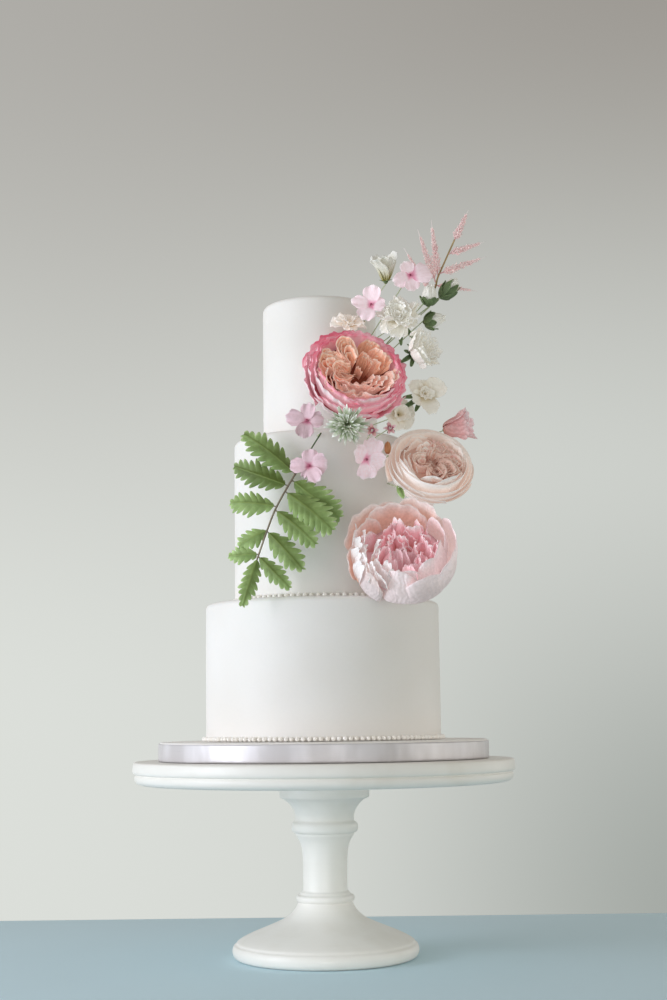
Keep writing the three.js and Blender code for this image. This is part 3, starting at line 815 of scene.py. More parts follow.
@dataclass(frozen=True)
class PearlFinish:
    """Sugar pearl: bright white with a soft lustre, each bead a little different."""

    name: str = "sugar_pearl"
    body: str = "#fbf9f6"
    shade: str = "#f0ebe2"

    def build(self) -> Any:
        """Colour that changes from bead to bead, under a thin coat, with a painted glow.

        Returns:
            The material.
        """
        s = Shader(self.name)
        tint, cloud = s.value("tint"), s.noise(300, 2)
        colour = s.mix(tint * 0.7 + cloud * 0.3, self.body, self.shade)
        return s.finish({
            "Base Color": colour, "Roughness": 0.22 + cloud * 0.12,
            "Specular IOR Level": 0.6, "Coat Weight": 0.3, "Coat Roughness": 0.15,
            # The emission is a painted glow that brightens the beads in the shade between the
            # tiers.
            "Emission Color": colour, "Emission Strength": 0.1})


@dataclass(frozen=True)
class PaintFinish:
    """Satin paint on turned wood: faint turning rings and brush marks under a soft gloss."""

    name: str = "satin_paint"
    body: str = "#efece6"
    worn: str = "#e2ddd3"

    def build(self) -> Any:
        """Colour with worn patches, over the turning rings.

        Returns:
            The material.
        """
        s = Shader(self.name)
        rings, blotch = s.noise(1, 3, s.stretched((12, 12, 700))), s.noise(28, 3)
        colour = s.mix(blotch.step(0.45, 0.8) * 0.5, self.body, self.worn)
        return s.finish({
            "Base Color": s.toned(colour, 0.99 + rings * 0.02),
            "Roughness": 0.3 + blotch * 0.14, "Specular IOR Level": 0.5,
            "Normal": s.relief(rings * 0.3 + blotch * 0.5, 0.0004)})


@dataclass(frozen=True)
class SatinFinish:
    """Satin ribbon: fine threads along the band, bright soft lustre, partly a painted sheen."""

    name: str = "satin_ribbon"
    body: str = "#cdc9cb"
    # lighter colour of the ripples: a painted sheen
    painted_light: str = "#e2dfe3"

    def build(self) -> Any:
        """Colour rippled towards a lighter painted sheen, and lustre, with threads along the
        band.

        Returns:
            The material.
        """
        s = Shader(self.name)
        threads = s.noise(1, 2, s.stretched((30, 30, 5200)))
        ripple = s.noise(1, 2, s.stretched((48, 48, 16)))
        # The lighter ripples are a painted sheen on the band.
        colour = s.mix(ripple.step(0.35, 0.7), self.body, self.painted_light)
        return s.finish({
            "Base Color": s.toned(colour, 0.95 + threads * 0.1),
            "Roughness": 0.24 + threads * 0.14, "Metallic": 0.18 + ripple * 0.1,
            "Specular IOR Level": 0.6, "Anisotropic": 0.4,
            "Sheen Weight": 0.15, "Sheen Roughness": 0.3,
            "Normal": s.relief(threads * 0.05 + ripple * 0.9, 0.0012)})


@dataclass(frozen=True)
class PetalFinish:
    """Sugar petal: face, foot, rim and back each have a colour, over fine veins; the foot's is
    partly painted shade.
    """

    name: str
    face: str
    deep: str
    rim: str
    back: str
    # the deep colour runs from the foot up to here: partly the petal's own deeper tone, partly
    # painted shade in creases and between rows
    deep_shade_to: float = 0.5
    rim_from: float = 0.84
    # strength of painted light: emission in the petal's own colour, a painted glow that lifts
    # it in shade as if lit through
    painted_light: float = 0.09
    contrast: float = 0.12
    veins: float = 0.02
    vein_count: float = 110.0
    vein_relief: float = 0.14
    blotch: float = 0.0
    fleck: str = "#ffffff"
    back_share: float = 1.0
    rim_back: float = 0.0
    back_from: float = 0.3
    rough: float = 0.9
    mottle: float = 0.22

    def build(self) -> Any:
        """Colour from foot to rim and over to the back, with flecks, veins and mottling, and a
        painted glow.

        Returns:
            The material.
        """
        s = Shader(self.name)
        u, v = s.petal_map()
        side, tint = s.value("side"), s.value("tint")
        cloud, grain, fine = s.noise(55, 3), s.noise(900, 2), s.noise(380, 3)
        vein = ((u * self.vein_count + cloud * 30).sine() * 0.5 + 0.5) * v.step(0.05, 0.5)
        level = v + (cloud - 0.5) * 0.3 + (tint - 0.5) * 0.12
        # Darker deep colour towards the foot: partly the petal's own tone, partly painted shade
        # where folds and rows shade each other.
        colour = s.mix(level.step(0.02, self.deep_shade_to), self.deep, self.face)
        edge = level.step(self.rim_from, 1.02)
        colour = s.mix(edge, colour, self.rim)
        behind = (side * self.back_share * v.step(-0.01, self.back_from)
                  * (1 - edge * self.rim_back))
        colour = s.mix(behind, colour, self.back)
        patch = (s.noise(120, 2) + (tint - 0.5) * 0.3).step(0.55, 0.75) * self.blotch
        colour = s.mix(patch, colour, self.fleck)
        bright = (1 - self.contrast * 0.5 + tint * self.contrast
                  + (cloud - 0.5) * 0.1 - vein * self.veins + (fine - 0.5) * self.mottle)
        return s.finish({
            "Base Color": s.toned(colour, bright, 1 + vein * self.veins * 1.5),
            "Roughness": 0.5 + grain * 0.15, "Specular IOR Level": 0.35,
            # The emission is painted light: the petal glows in its own colour, which brightens
            # its creases and shaded side.
            "Emission Strength": self.painted_light, "Emission Color": colour,
            "Normal": s.relief(vein * self.vein_relief + fine * 0.5 + cloud * self.rough,
                               0.0005)})


@dataclass(frozen=True)
class LeafFinish:
    """Dusted sugar leaf: darker along its ribs, lighter towards its edge."""

    name: str
    body: str
    deep: str
    edge: str
    back: str
    rib: str
    stripes: float = 0.0

    def build(self) -> Any:
        """Colour that changes from the rib outward and along the leaf, clouded and striped.

        Returns:
            The material.
        """
        s = Shader(self.name)
        u, v = s.petal_map()
        side, tint = s.value("side"), s.value("tint")
        away = ((u - 0.5) * 2).math("ABSOLUTE")
        cloud, grain = s.noise(140, 4), s.noise(1500, 2)
        level = away * 0.7 + v * 0.35 + (cloud - 0.5) * 0.8
        colour = s.mix(level.step(0.05, 0.85) * 0.6 + tint * 0.4, self.deep, self.body)
        colour = s.mix(level.step(0.72, 1.05) * 0.8, colour, self.edge)
        colour = s.mix((1 - away.step(0.0, 0.07)) * 0.8, colour, self.rib)
        stripe = (u * 34 + cloud * 7).sine().step(0.0, 1.0) * self.stripes
        colour = s.mix(stripe, colour, self.deep)
        colour = s.mix(side * 0.3, colour, self.back)
        return s.finish({
            "Base Color": s.toned(colour, 0.92 + tint * 0.1 + (cloud - 0.5) * 0.3),
            "Roughness": 0.5 + grain * 0.15, "Specular IOR Level": 0.4,
            "Subsurface Weight": 0.08, "Subsurface Radius": (0.5, 1.0, 0.3),
            "Subsurface Scale": 0.001,
            "Normal": s.relief(cloud * 0.6 + grain * 0.3, 0.0005)})


class Finish(Enum):
    """Every finish on the cake. A petal's colours are its face, deep, rim and back."""

    ICING = IcingFinish()
    PEARL = PearlFinish()
    PAINT = PaintFinish()
    SATIN = SatinFinish()
    # Crimson deep colour: partly the rose's own tone, partly painted shade in the gaps between
    # its rows.
    CORAL = PetalFinish("coral_petal", "#fbc4cf", "#ae1c38", "#ea7d96", "#f7e6e8", 0.82, 0.9,
                        0.1, 0.2, blotch=0.5, fleck="#fad5de", rim_back=0.8, back_from=0.02)
    # Dark brown deep colour: partly the heart's own tone, partly painted shade in the valleys
    # between its folds.
    CORAL_HEART = PetalFinish("coral_heart", "#f9bc9f", "#88341c", "#ffe0d0", "#f6ccba", 0.86,
                              0.8, 0.1, 0.3, 0.05, 64, 0.5, 0.3, "#fdd3c6")
    CORAL_LIP = PetalFinish("coral_lip", "#fdccbb", "#9c452c", "#ffe8df", "#fbd6cb", 0.72,
                            0.76, 0.11, 0.26, 0.05, 64, 0.5, 0.4, "#fddcd8")
    # Dark brown sheet under the coral heart: painted shade that shows through the gaps between
    # its folds.
    CORAL_PAINTED_SHADE = PetalFinish("coral_painted_shade", "#8e4632", "#6b2618", "#a35a44", "#8e4632",
                              painted_light=0.0)
    BLUSH = PetalFinish("blush_petal", "#f6e4d9", "#e0b092", "#f9efe8", "#f9f1ee", 0.4,
                        painted_light=0.11, back_from=0.02)
    # Dark red-brown deep colour: partly the heart's own tone, partly painted shade in the gaps
    # between its folds.
    BLUSH_HEART = PetalFinish("blush_heart", "#f1cdbf", "#a9624a", "#f9e4d9", "#f4dacf", 0.85,
                              0.88, 0.05, 0.16, 0.04, 60, 0.4, 0.6, "#efbdb8")
    PEONY = PetalFinish("peony_petal", "#f0c8b8", "#da9672", "#f6e8e4", "#e2d4d4", 0.46, 0.7,
                        0.14, 0.24, 0.02, 70, 0.5, 0.4, "#f3e4e2", rim_back=0.6,
                        back_from=0.02, rough=2.2, mottle=0.4)
    # Paler copy of the peony petal with more glow, for the right-hand petals: partly their own
    # paler tone, partly painted light.
    PEONY_PALE_LIT = PetalFinish("pale_lit_peony_petal", "#fbeae6", "#e3b29e", "#faeaec", "#d4c5c5",
                             0.4, 0.62, 0.17, 0.2, 0.02, 70, 0.5, 0.4, "#f2e2e4",
                             rim_back=0.6, back_from=0.02, rough=2.2, mottle=0.4)
    PEONY_HEART = PetalFinish("peony_heart", "#f6c6cc", "#cf7f76", "#fdeef0", "#f9d2d8", 0.6,
                              0.66, contrast=0.34, vein_count=50, vein_relief=0.4)
    PEONY_FRINGE = PetalFinish("peony_fringe", "#fbefed", "#eeb08c", "#fefafa", "#faf4f4",
                               0.55, 0.6, 0.1, 0.08)
    # Two copies of one pink: a darker one, painted shade, and a lighter one with more glow,
    # painted light.
    PINK_SHADED = PetalFinish("shaded_pink_petal", "#e1c2cb", "#c67891", "#e6d1d8", "#dfc9d0", 0.28,
                       contrast=0.16, veins=0.03, vein_count=60, rough=2.0, mottle=0.34)
    PINK_LIT = PetalFinish("lit_pink_petal", "#fbe3ea", "#ec9bb7", "#fceff3", "#f8e6ec",
                             0.28, painted_light=0.14, contrast=0.16, veins=0.03, vein_count=60,
                             rough=2.0, mottle=0.34)
    PINK_EYE = PetalFinish("pink_eye", "#b8607c", "#8d4459", "#c97a92", "#b8607c")
    TRUMPET = PetalFinish("trumpet_petal", "#f4f2ea", "#a29a4c", "#fbfaf8", "#e6e3d2", 0.66,
                          painted_light=0.05, contrast=0.08, back_share=0.35)
    WHITE = PetalFinish("white_petal", "#f6f3eb", "#d0c29a", "#fcfaf7", "#f6f3ec", 0.62,
                        painted_light=0.07, contrast=0.1)
    # Darker copy of the white for the open and low blossoms: partly their own cream tone,
    # partly painted shade.
    SHADED_CREAM_WHITE = PetalFinish("shaded_cream_white_petal", "#f2ece1", "#cbbb9a", "#f7f3ea", "#f0ebe1",
                              0.6, contrast=0.08)
    CREAM = PetalFinish("cream_petal", "#f8eee6", "#e0c8ac", "#fcf7f2", "#f6ede4", painted_light=0.12)
    PINK_BUD = PetalFinish("pink_bud_petal", "#edb9ba", "#ad6c50", "#fdeef1", "#e4b3b1", 0.7,
                           0.7, veins=0.12, vein_count=26, blotch=0.8, fleck="#f3cfd4",
                           back_share=0.6, mottle=0.6)
    PEACH_BUD = PetalFinish("peach_bud_petal", "#cf8f63", "#a35f3a", "#d9a078", "#c4855c")
    SAGE = PetalFinish("sage_bract", "#bfccab", "#415126", "#fbfcf6", "#a9b891", 0.8, 0.6,
                       contrast=0.4)
    PLUME = PetalFinish("plume_floret", "#f6dfdd", "#d8a6a8", "#fdf6f4", "#f5dddc", 0.6, 0.6,
                        0.2, 0.4)
    LEAF = LeafFinish("fern_leaf", "#a5c17b", "#5f722d", "#cadda4", "#9ab67b", "#869a52")
    GREEN = LeafFinish("sepal_green", "#768b5e", "#445733", "#a3b489", "#7f9367", "#91a474",
                       stripes=0.6)
    STEM = LeafFinish("stem_green", "#cfd8b8", "#b9c69c", "#d4dcc0", "#c8d2ae", "#cfd8b8")
    GOLDEN = LeafFinish("golden_stem", "#b89d6c", "#94794c", "#cdb587", "#a98f60", "#c2a876")
    TWIG = LeafFinish("twig_brown", "#a0927a", "#766a5c", "#aca088", "#8f8470", "#a39780")


Part = Tuple[Surface, Finish]


class Workshop:
    """Turns surfaces into pieces that ride on the root body, one material each finish."""

    def __init__(self) -> None:
        """Start with no materials made."""
        self.made: Dict[Finish, Any] = {}

    def material(self, finish: Finish) -> Any:
        """Material of a finish, made the first time it is asked for.

        Args:
            finish: the finish.

        Returns:
            Its material.
        """
        if finish not in self.made:
            self.made[finish] = finish.value.build()
        return self.made[finish]

    def mesh(self, name: str, parts: Sequence[Part]) -> Any:
        """Mesh of several surfaces, each with its own finish.

        Args:
            name: name of the mesh.
            parts: surfaces and their finishes.

        Returns:
            The mesh, smooth shaded, with its petal map and its two point values.
        """
        whole = Surface.join([surface for surface, _ in parts])
        finishes = list(dict.fromkeys(finish for _, finish in parts))
        loops = np.concatenate([whole.quads.ravel(), whole.tris.ravel()]).astype(np.int32)
        sizes = np.repeat([4, 3], [len(whole.quads), len(whole.tris)])
        slots = [finishes.index(finish) for _, finish in parts]
        index = np.concatenate([np.repeat(slots, [len(getattr(part, key)) for part, _ in parts])
                                for key in ("quads", "tris")])
        mesh = bpy.data.meshes.new(name)
        for data, key, values in (
                (mesh.vertices, "co", whole.points * MM), (mesh.loops, "vertex_index", loops),
                (mesh.polygons, "loop_start", np.cumsum(sizes) - sizes)):
            data.add(len(values))
            kind = np.float32 if key == "co" else np.int32
            data.foreach_set(key, values.astype(kind).ravel())
        mesh.polygons.foreach_set("material_index", index.astype(np.int32))
        mesh.uv_layers.new(name="petal").data.foreach_set(
            "uv", whole.uv[loops].astype(np.float32).ravel())
        for key in ("side", "tint"):
            mesh.attributes.new(key, "FLOAT", "POINT").data.foreach_set(
                "value", getattr(whole, key).astype(np.float32))
        for finish in finishes:
            mesh.materials.append(self.material(finish))
        mesh.update(calc_edges=True)
        mesh.shade_smooth()
        return mesh

    def piece(self, name: str, parts: Sequence[Part], slot: str, *nodes: str) -> None:
        """Make one finished piece on the root body, standing for its solids.

        Args:
            name: name of the piece.
            parts: surfaces and their finishes.
            slot: name of its material slot; not used.
            nodes: solids that it stands for.
        """
        made = bpy.data.objects.new(name, self.mesh(name, parts))
        bpy.context.scene.collection.objects.link(made)
        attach(made, "root")
        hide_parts(*nodes)
        LOG.info("%s: %d faces", name, len(made.data.polygons))


# ---- stand and board ---------------------------------------------------------------------

@dataclass(frozen=True)
class Stand:
    """Turned pedestal with a grooved round plate."""

    foot_radius: float = 79.8
    column_radius: float = 18.8
    height: float = 145.7
    plate_radius: float = 164.3
    plate_foot: float = 146.0
    plate_top: float = 166.2
    segments: int = 144

    def pedestal(self) -> Surface:
        """Foot with a double crease, waisted column, two rings and a flared flange.

        Returns:
            The pedestal, its profile's corners rounded.
        """
        foot, column = self.foot_radius, self.column_radius
        profile = [
            (foot - 6.5, 0), (foot - 1.9, 1.6), (foot, 6.6), (foot - 1.4, 11.2),
            (foot - 3.1, 12.2), (foot - 3.9, 13.2), (foot - 4.6, 14.6), (67, 19), (55, 23.9),
            (42.6, 28.9), (33.2, 33.4), (26.6, 39.4), (23.4, 45.6), (23, 46.6), (24.6, 47.4),
            (25, 49.7), (24.4, 52), (21.8, 52.6), (21.2, 54.4), (column + 0.2, 55.6),
            (column, 58), (column, 72), (19.2, 88), (21.2, 96.6), (23.6, 100.4),
            (25, 102.4), (25.2, 104.2), (28, 105), (29, 109.2), (27.8, 112.8), (25.4, 114),
            (25, 116), (25.4, 120.4), (28, 126.2), (33, 131.6), (38.2, 133.8), (38.8, 135),
            (39, self.height)]
        return revolve(rounded(profile), self.segments)

    def plate(self) -> Surface:
        """Plate with a rounded lower moulding, a groove and a softly crowned upper band.

        Returns:
            The plate, its profile's corners rounded.
        """
        rim, low, top = self.plate_radius, self.plate_foot, self.plate_top
        profile = [
            (30, low), (rim - 16, low), (rim - 6, low + 0.7), (rim - 2.4, low + 3.2),
            (rim - 1.5, low + 6), (rim - 1.8, low + 8.2), (rim - 2.9, low + 9),
            (rim - 2.7, low + 9.5), (rim - 0.7, low + 10.3), (rim - 0.1, low + 12),
            (rim, top - 5.5), (rim - 0.5, top - 1.6), (rim - 1.6, top - 0.3),
            (rim - 3.4, top), (30, top)]
        return revolve(rounded(profile), self.segments * 2)

    def build(self, shop: Workshop) -> None:
        """Make both pieces of the stand.

        Args:
            shop: makes the pieces.
        """
        shop.piece("turned_pedestal", [(self.pedestal(), Finish.PAINT)], "painted_wood",
                   "stand_pedestal")
        shop.piece("round_plate", [(self.plate(), Finish.PAINT)], "painted_wood",
                   "stand_plate")


@dataclass(frozen=True)
class Board:
    """Iced board with a satin ribbon round its edge."""

    radius: float = 141.2
    foot: float = 166.5
    top: float = 182.5
    edge: float = 1.6
    ribbon_inner: float = 141.5
    ribbon_outer: float = 142.3
    ribbon_foot: float = 166.8
    ribbon_top: float = 181.2
    segments: int = 288

    def board(self) -> Surface:
        """Disc with a softly rounded upper edge, slightly uneven.

        Returns:
            The disc.
        """
        edge = [(self.radius - self.edge * (1 - math.cos(a)),
                 self.top - self.edge * (1 - math.sin(a)))
                for a in np.linspace(0, math.pi / 2, 8)]
        inner = [(r, self.top) for r in (136, 128, 112, 104, 60, 20)]
        profile = [(30, self.foot), (self.radius - 0.8, self.foot),
                   (self.radius, self.foot + 0.8), (self.radius, 174), *edge, *inner]
        return revolve(np.array(profile), self.segments, 0.03)

    def ribbon(self) -> Surface:
        """Closed band whose outer face bulges a little: a ring of a thin flat section.

        Returns:
            The band.
        """
        t = np.linspace(0, 1, 15)
        height = self.ribbon_foot + (self.ribbon_top - self.ribbon_foot) * t
        bulge = 0.12 * np.sin(math.pi * t) - 0.15 * (t < 0.01) - 0.15 * (t > 0.99)
        radius = np.append(self.ribbon_outer + bulge, np.full(15, self.ribbon_inner))
        angle = np.linspace(0, TURN, self.segments, endpoint=False)[:, None]
        wave = 0.12 * np.sin(11 * angle) * np.sin(3 * angle + 1)
        lift = 0.25 * np.sin(3 * angle) + 0.12 * np.sin(8 * angle + 2)
        points = turned(radius + wave, angle, np.append(height, height[::-1]) + lift * 0.5)
        at = np.arange(points[..., 0].size).reshape(points.shape[:2])
        right, up = np.roll(at, -1, 0), np.roll(at, -1, 1)
        return Surface(points, np.stack([at, right, np.roll(right, -1, 1), up], -1))

    def build(self, shop: Workshop) -> None:
        """Make the board and its ribbon.

        Args:
            shop: makes the pieces.
        """
        shop.piece("iced_board", [(self.board(), Finish.ICING)], "icing", "cake_board")
        shop.piece("satin_band", [(self.ribbon(), Finish.SATIN)], "satin_ribbon",
                   "board_ribbon")


# ---- tiers -------------------------------------------------------------------------------

@dataclass(frozen=True)
class Tier:
    """Iced round tier with a string of sugar beads round its foot."""

    name: str
    radius: float
    foot: float
    top: float
    beads: int
    rounding: float = 4.5
    bead: float = 1.92
    segments: int = 240

    def wall(self) -> Surface:
        """Upright wall, quarter-round upper edge and flat top, the wall faintly uneven.

        Returns:
            The tier without its beads.
        """
        turn = np.linspace(0, math.pi / 2, 10)
        shoulder, brow = self.radius - self.rounding, self.top - self.rounding
        edge = np.stack([self.radius - self.rounding * (1 - np.cos(turn)),
                         self.top - self.rounding * (1 - np.sin(turn))], -1)
        side = [(self.radius, z) for z in np.linspace(self.foot, brow, 25)[:-1]]
        top = [(r, self.top) for r in np.linspace(shoulder, 8, 8)[1:]]
        return revolve(np.vstack([side, edge, top]), self.segments, 0.05)

    def string(self) -> Surface:
        """Beads side by side in a ring, each a little uneven in size and place.

        Returns:
            The beads.
        """
        rng = np.random.default_rng(self.beads)
        n = self.beads
        angle = TURN * (np.arange(n) + rng.uniform(-0.07, 0.07, n)) / n
        size = self.bead * rng.uniform(0.93, 1.06, n)
        centres = turned(self.radius + 0.9 * size, angle, self.foot + size * 0.98 + 0.05)
        bases = np.eye(3)[None] * (size[:, None] * rng.uniform(0.95, 1.05, (n, 3)))[:, :, None]
        return scatter(ball(5, 10), centres, bases, rng.uniform(0, 1, n))

    def build(self, shop: Workshop) -> None:
        """Make the tier with its beads as one piece."""
        shop.piece("iced_" + self.name, [(self.wall(), Finish.ICING),
                                         (self.string(), Finish.PEARL)], "icing", self.name)

    def wire_foot(self, foot: Pair) -> Array:
        """Where a wire meets the wall: its angle from +X in degrees and its height."""
        return turned(self.radius + WALL_GAP, math.radians(foot[0]), foot[1])


BOTTOM = Tier("tier_bottom", 101.6, 182.8, 300.2, 135)
MIDDLE = Tier("tier_middle", 76.4, 300.5, 443.0, 90)
TOP = Tier("tier_top", 50.6, 443.3, 566.0, 60)


# ---- flowers -----------------------------------------------------------------------------

Ring = Tuple[Any, Finish]
Rings = Tuple[Ring, ...]


def family(kind: Any, finish: Finish, seeds: Sequence[int], columns: str,
           rows: Sequence[Sequence[Any]], **shared: Any) -> Rings:
    """Rings of one kind that have most of their sizes in common.

    Args:
        kind: class of the rings.
        finish: finish of them all.
        seeds: seed of each ring's draws.
        columns: names of the sizes that each row gives.
        rows: one row of sizes a ring.
        shared: sizes that are the same in all.

    Returns:
        The rings with their finish.
    """
    return tuple((kind(seed=seed, **dict(zip(columns.split(), row)), **shared), finish)
                 for seed, row in zip(seeds, rows))


def placed(angles: Sequence[float], *sizes: float) -> Places:
    """Places of petals at these angles, all with the same further sizes."""
    return tuple((angle, *sizes) for angle in angles)


@dataclass(frozen=True)
class Flower:
    """Flower of any kind: rings of petals about its aim, sepals, and a wire to a tier."""

    name: str
    node: str
    slot: str
    placing: Placing
    tier: Tier
    foot: Pair
    neck: float
    rings: Rings
    sepals: float = 0.0
    wire: float = 0.45
    base: float = 0.0

    def stalk(self) -> Surface:
        """Wire from the tier's wall to the flower's neck, easing into the aim.

        Returns:
            The wire.
        """
        start = self.tier.wire_foot(self.foot)
        end, ahead = self.placing.point([(0, 0, -self.neck), (0, 0, 1.2 - self.neck)])
        return tube(spline([start, 0.5 * (start + end), end, ahead], 14), self.wire, 8)

    def calyx(self) -> Rings:
        """Green cup and five pointed sepals behind the petals.

        Returns:
            Both with their finish.
        """
        size = self.sepals
        low, tilt = (-3.6, (8, 8)) if self.base else (-0.8, (25, 5))
        return ((Cup(0.9, 0.28 * size, -self.neck, -0.6), Finish.GREEN),
                (Whorl(size, 0.2 * size, 5, root=0.2 * size, lift=low, tilt=tilt, waist=0.6,
                       full=0.93, blunt=0.1, seed=len(self.name), thick=0.5, grid=(7, 11)),
                 Finish.GREEN))

    def build(self, shop: Workshop) -> None:
        """Make the flower as one piece; a large one has a dome that closes its back.

        Args:
            shop: makes the pieces.
        """
        rings = self.rings + (self.calyx() if self.sepals else ())
        if self.base:
            rings += ((Dish(self.base, -2.6, 0.3, 0.6, 1), self.rings[0][1]),)
        parts = [(self.placing.put(ring.build()), finish) for ring, finish in rings]
        shop.piece(self.name, parts + [(self.stalk(), Finish.STEM)], self.slot, self.node)


@dataclass(frozen=True)
class Cup:
    """Green cup of a calyx: its radius grows with the sine of the height."""

    neck: float
    flare: float
    low: float
    high: float

    def build(self) -> Surface:
        """The cup, turned about the flower's aim.

        Returns:
            The cup, closed at both ends.
        """
        t = np.linspace(0, 1, 6)
        return revolve(np.stack([self.neck + self.flare * np.sin(t * math.pi / 2),
                                 self.low + (self.high - self.low) * t], -1), 12)


def quarters(finish: Finish, spin: float, rows: Sequence[Sequence[float]]) -> Rings:
    """Folds of a rose's heart, each row Fold's sizes in order, its angle from the cake's X."""
    return tuple((Fold(angle - math.degrees(spin), *sizes), finish)
                 for angle, *sizes in rows)


def coral_rose() -> Flower:
    """Full rose: four frilled rose-pink rows round a quartered peach heart.

    Returns:
        The rose, low on the front of the top tier.
    """
    spin = 0.3
    rows = family(
        Wrap, Finish.CORAL, (21, 22, 27, 23),
        "reach rise frill waves step dip slant swell places", (
            (42, 19.5, 0.9, 23, 1.8, 8, 6.5, 0.56, placed(range(0, 360, 60), 39, 1, 1, 2.2)),
            (39.6, 23.5, 0.9, 21, 1.4, 9, 5, 0.62,
             placed((36, 108, 180), 47, 1, 1, 1.8) + placed((252, 324), 47, 0.97, 1, 2)),
            (37.2, 26.5, 0.8, 20, 1.2, 8, 3.5, 0.68,
             ((0, 45, 1, 1, 1.4), (72, 47, 1, 1, 1.4), (144, 47, 1, 1, 1.4),
              (216, 45, 0.95, 1, 1.8), (288, 45, 0.94, 1, 1.8))),
            (35, 29, 0.7, 19, 1.2, 8, 1.5, 0.74,
             placed((8, 80, 152), 47, 1, 1, 1) + placed((224, 295), 47, 0.92, 1.02, 1.4))),
        foot=(20, -0.5), spin=spin, grid=(61, 15))
    folds = quarters(Finish.CORAL_HEART, spin, (
        (109, 19, 31.5, 32, 8, 0.3, 4, 1.5, 3, 11), (146, 11, 31, 28, 5, 0.6, 6, 2, 3, 19),
        (165, 12, 31.5, 27.5, 5, 0.6, 5, 2, 3, 16), (186, 34, 19, 26, 6, 0.5, 5, 2, 1, 18)))
    fans = family(
        Whorl, Finish.CORAL_HEART, range(24, 29), "length root lift tilt places", (
            (24.5, 17, 10, (42, 66), placed((66, 52, 38, 26), 1, 1.05)),
            (23, 13, 10, (42, 70), placed((64, 48, 32), 1, 0.95)),
            (21.5, 9, 9.5, (44, 74), placed((62, 46, 30), 1, 0.85)),
            (20, 5.5, 8, (50, 78), placed((58, 36), 1, 0.7)),
            (19, 2.5, 6, (60, 84), placed((50,), 1, 0.6))),
        width=7.2, waist=0.34, full=0.6, blunt=0.3, notch=0.05, cup=1.4, frill=1.5, waves=3.2,
        twist=1.1, jitter=1.3, spin=spin, thick=0.5, grid=(25, 13))
    lips = family(
        Whorl, Finish.CORAL_LIP, range(34, 40), "length width root lift places", (
            (19, 10.5, 27, 11, placed((-14, -38, -66, -95, -126, -157, 174), 1, 1)),
            (20, 9.8, 22, 10, placed((-22, -50, -80, -112, -144, -174), 1, 1)),
            (20, 9, 17, 10, placed((-22, -50, -80, -112, -146), 1, 1)),
            (20, 7.6, 13.5, 9.5, placed((-30, -66, -104, -140), 1, 1)),
            (19, 6.4, 9, 7.5, placed((-36, -80, -124), 1, 1)),
            (17, 5, 5, 5, placed((-60, -120), 1, 1))),
        tilt=(82, 50), waist=0.4, full=0.62, blunt=0.3, notch=0.04, cup=1.6, frill=1.4,
        waves=2.4, twist=1.1, jitter=1.2, ragged=0.5, spin=spin, thick=0.5, grid=(25, 13))
    return Flower("coral_rose", "rose_coral", "petal_coral",
                  Placing((27.5, -56, 481), (0.2, -0.86, 0.46), spin), TOP, (-58, 477), 4,
                  # The dark dish under the heart is painted shade.
                  rows + folds + fans + lips + ((Dish(32, 10, 16), Finish.CORAL_PAINTED_SHADE),),
                  sepals=18, base=21.5)


def blush_rose() -> Flower:
    """Cream-blush rose: broad smooth outer petals round a folded heart.

    Returns:
        The rose, at the upper right of the middle tier.
    """
    spin = 0.2
    rows = family(
        Wrap, Finish.BLUSH, range(41, 45),
        "petals reach rise turn dip curl spread slant swell jitter", (
            (5, 34, 15.5, 0, 6, 3, 1.5, 6, 0.46, 1.2),
            (4, 33, 20, 0.4, 5, 3.2, 1.4, 5.5, 0.52, 1.4),
            (4, 31, 23.5, 0.15, 5, 3.4, 1.4, 4.5, 0.6, 1.4),
            (4, 28.5, 25.5, 0.65, 5, 2, 1.4, 2.5, 0.7, 1)),
        foot=(18, -0.5), step=0.8, spin=spin, grid=(41, 15))
    crescents = family(
        Wrap, Finish.BLUSH, range(45, 49), "reach rise places", [
            (reach, rise, tuple((*place, 1, 1, 1.6) for place in places))
            for reach, rise, places in (
                (26.5, 27, ((196, 66), (108, 36), (30, 40), (-62, 42))),
                (22.4, 26.6, ((186, 58), (118, 30), (264, 34))),
                (18, 25.8, ((178, 50), (98, 28))), (13.5, 24.6, ((180, 46), (100, 32))))],
        foot=(12, 2), dip=11, arch=2, frill=0.6, waves=11, step=0.4, swell=0.5, spin=spin,
        thick=0.6, jitter=0.6, grid=(41, 15))
    folds = quarters(Finish.BLUSH_HEART, spin, (
        (186, 40, 15, 25, 6, 0.3, 3, 2, 1, 39, 1.2, 0.5),
        (84, 13, 23, 24.5, 5, 0.6, 6, 2, 4, 32, 1.2, 0.8),
        (56, 13, 23.5, 24, 6, 0.7, 6, 2, 4, 33, 1.2, 0.8),
        (26, 15, 24, 23.5, 7, 0.6, 6, 2.5, 3, 36, 1.2, 0.8),
        (-8, 17, 24.5, 23.5, 8, 0.6, 6, 2.5, 2, 34, 1.2, 0.8),
        (-46, 20, 24.5, 23.5, 8, 0.4, 4, 3, 2, 35, 1.6, 0.8),
        (-88, 18, 22, 23.5, 6, 0.4, 4, 3, 2, 31, 1.6, 0.8)))
    middle = (Whorl(12, 2.6, 6, root=1.8, lift=6, tilt=(74, 96), cup=-1.2, frill=0.6,
                    seed=38, twist=1, jitter=1.5), Finish.BLUSH_HEART)
    return Flower("blush_rose", "rose_blush", "petal_blush",
                  Placing((91, -50, 402), (0.14, -0.77, 0.62), spin), MIDDLE, (-30, 391), 4,
                  (*rows, *crescents, *folds, middle, (Dish(27, 13, 19), Finish.BLUSH_HEART)),
                  sepals=15, base=19.5)


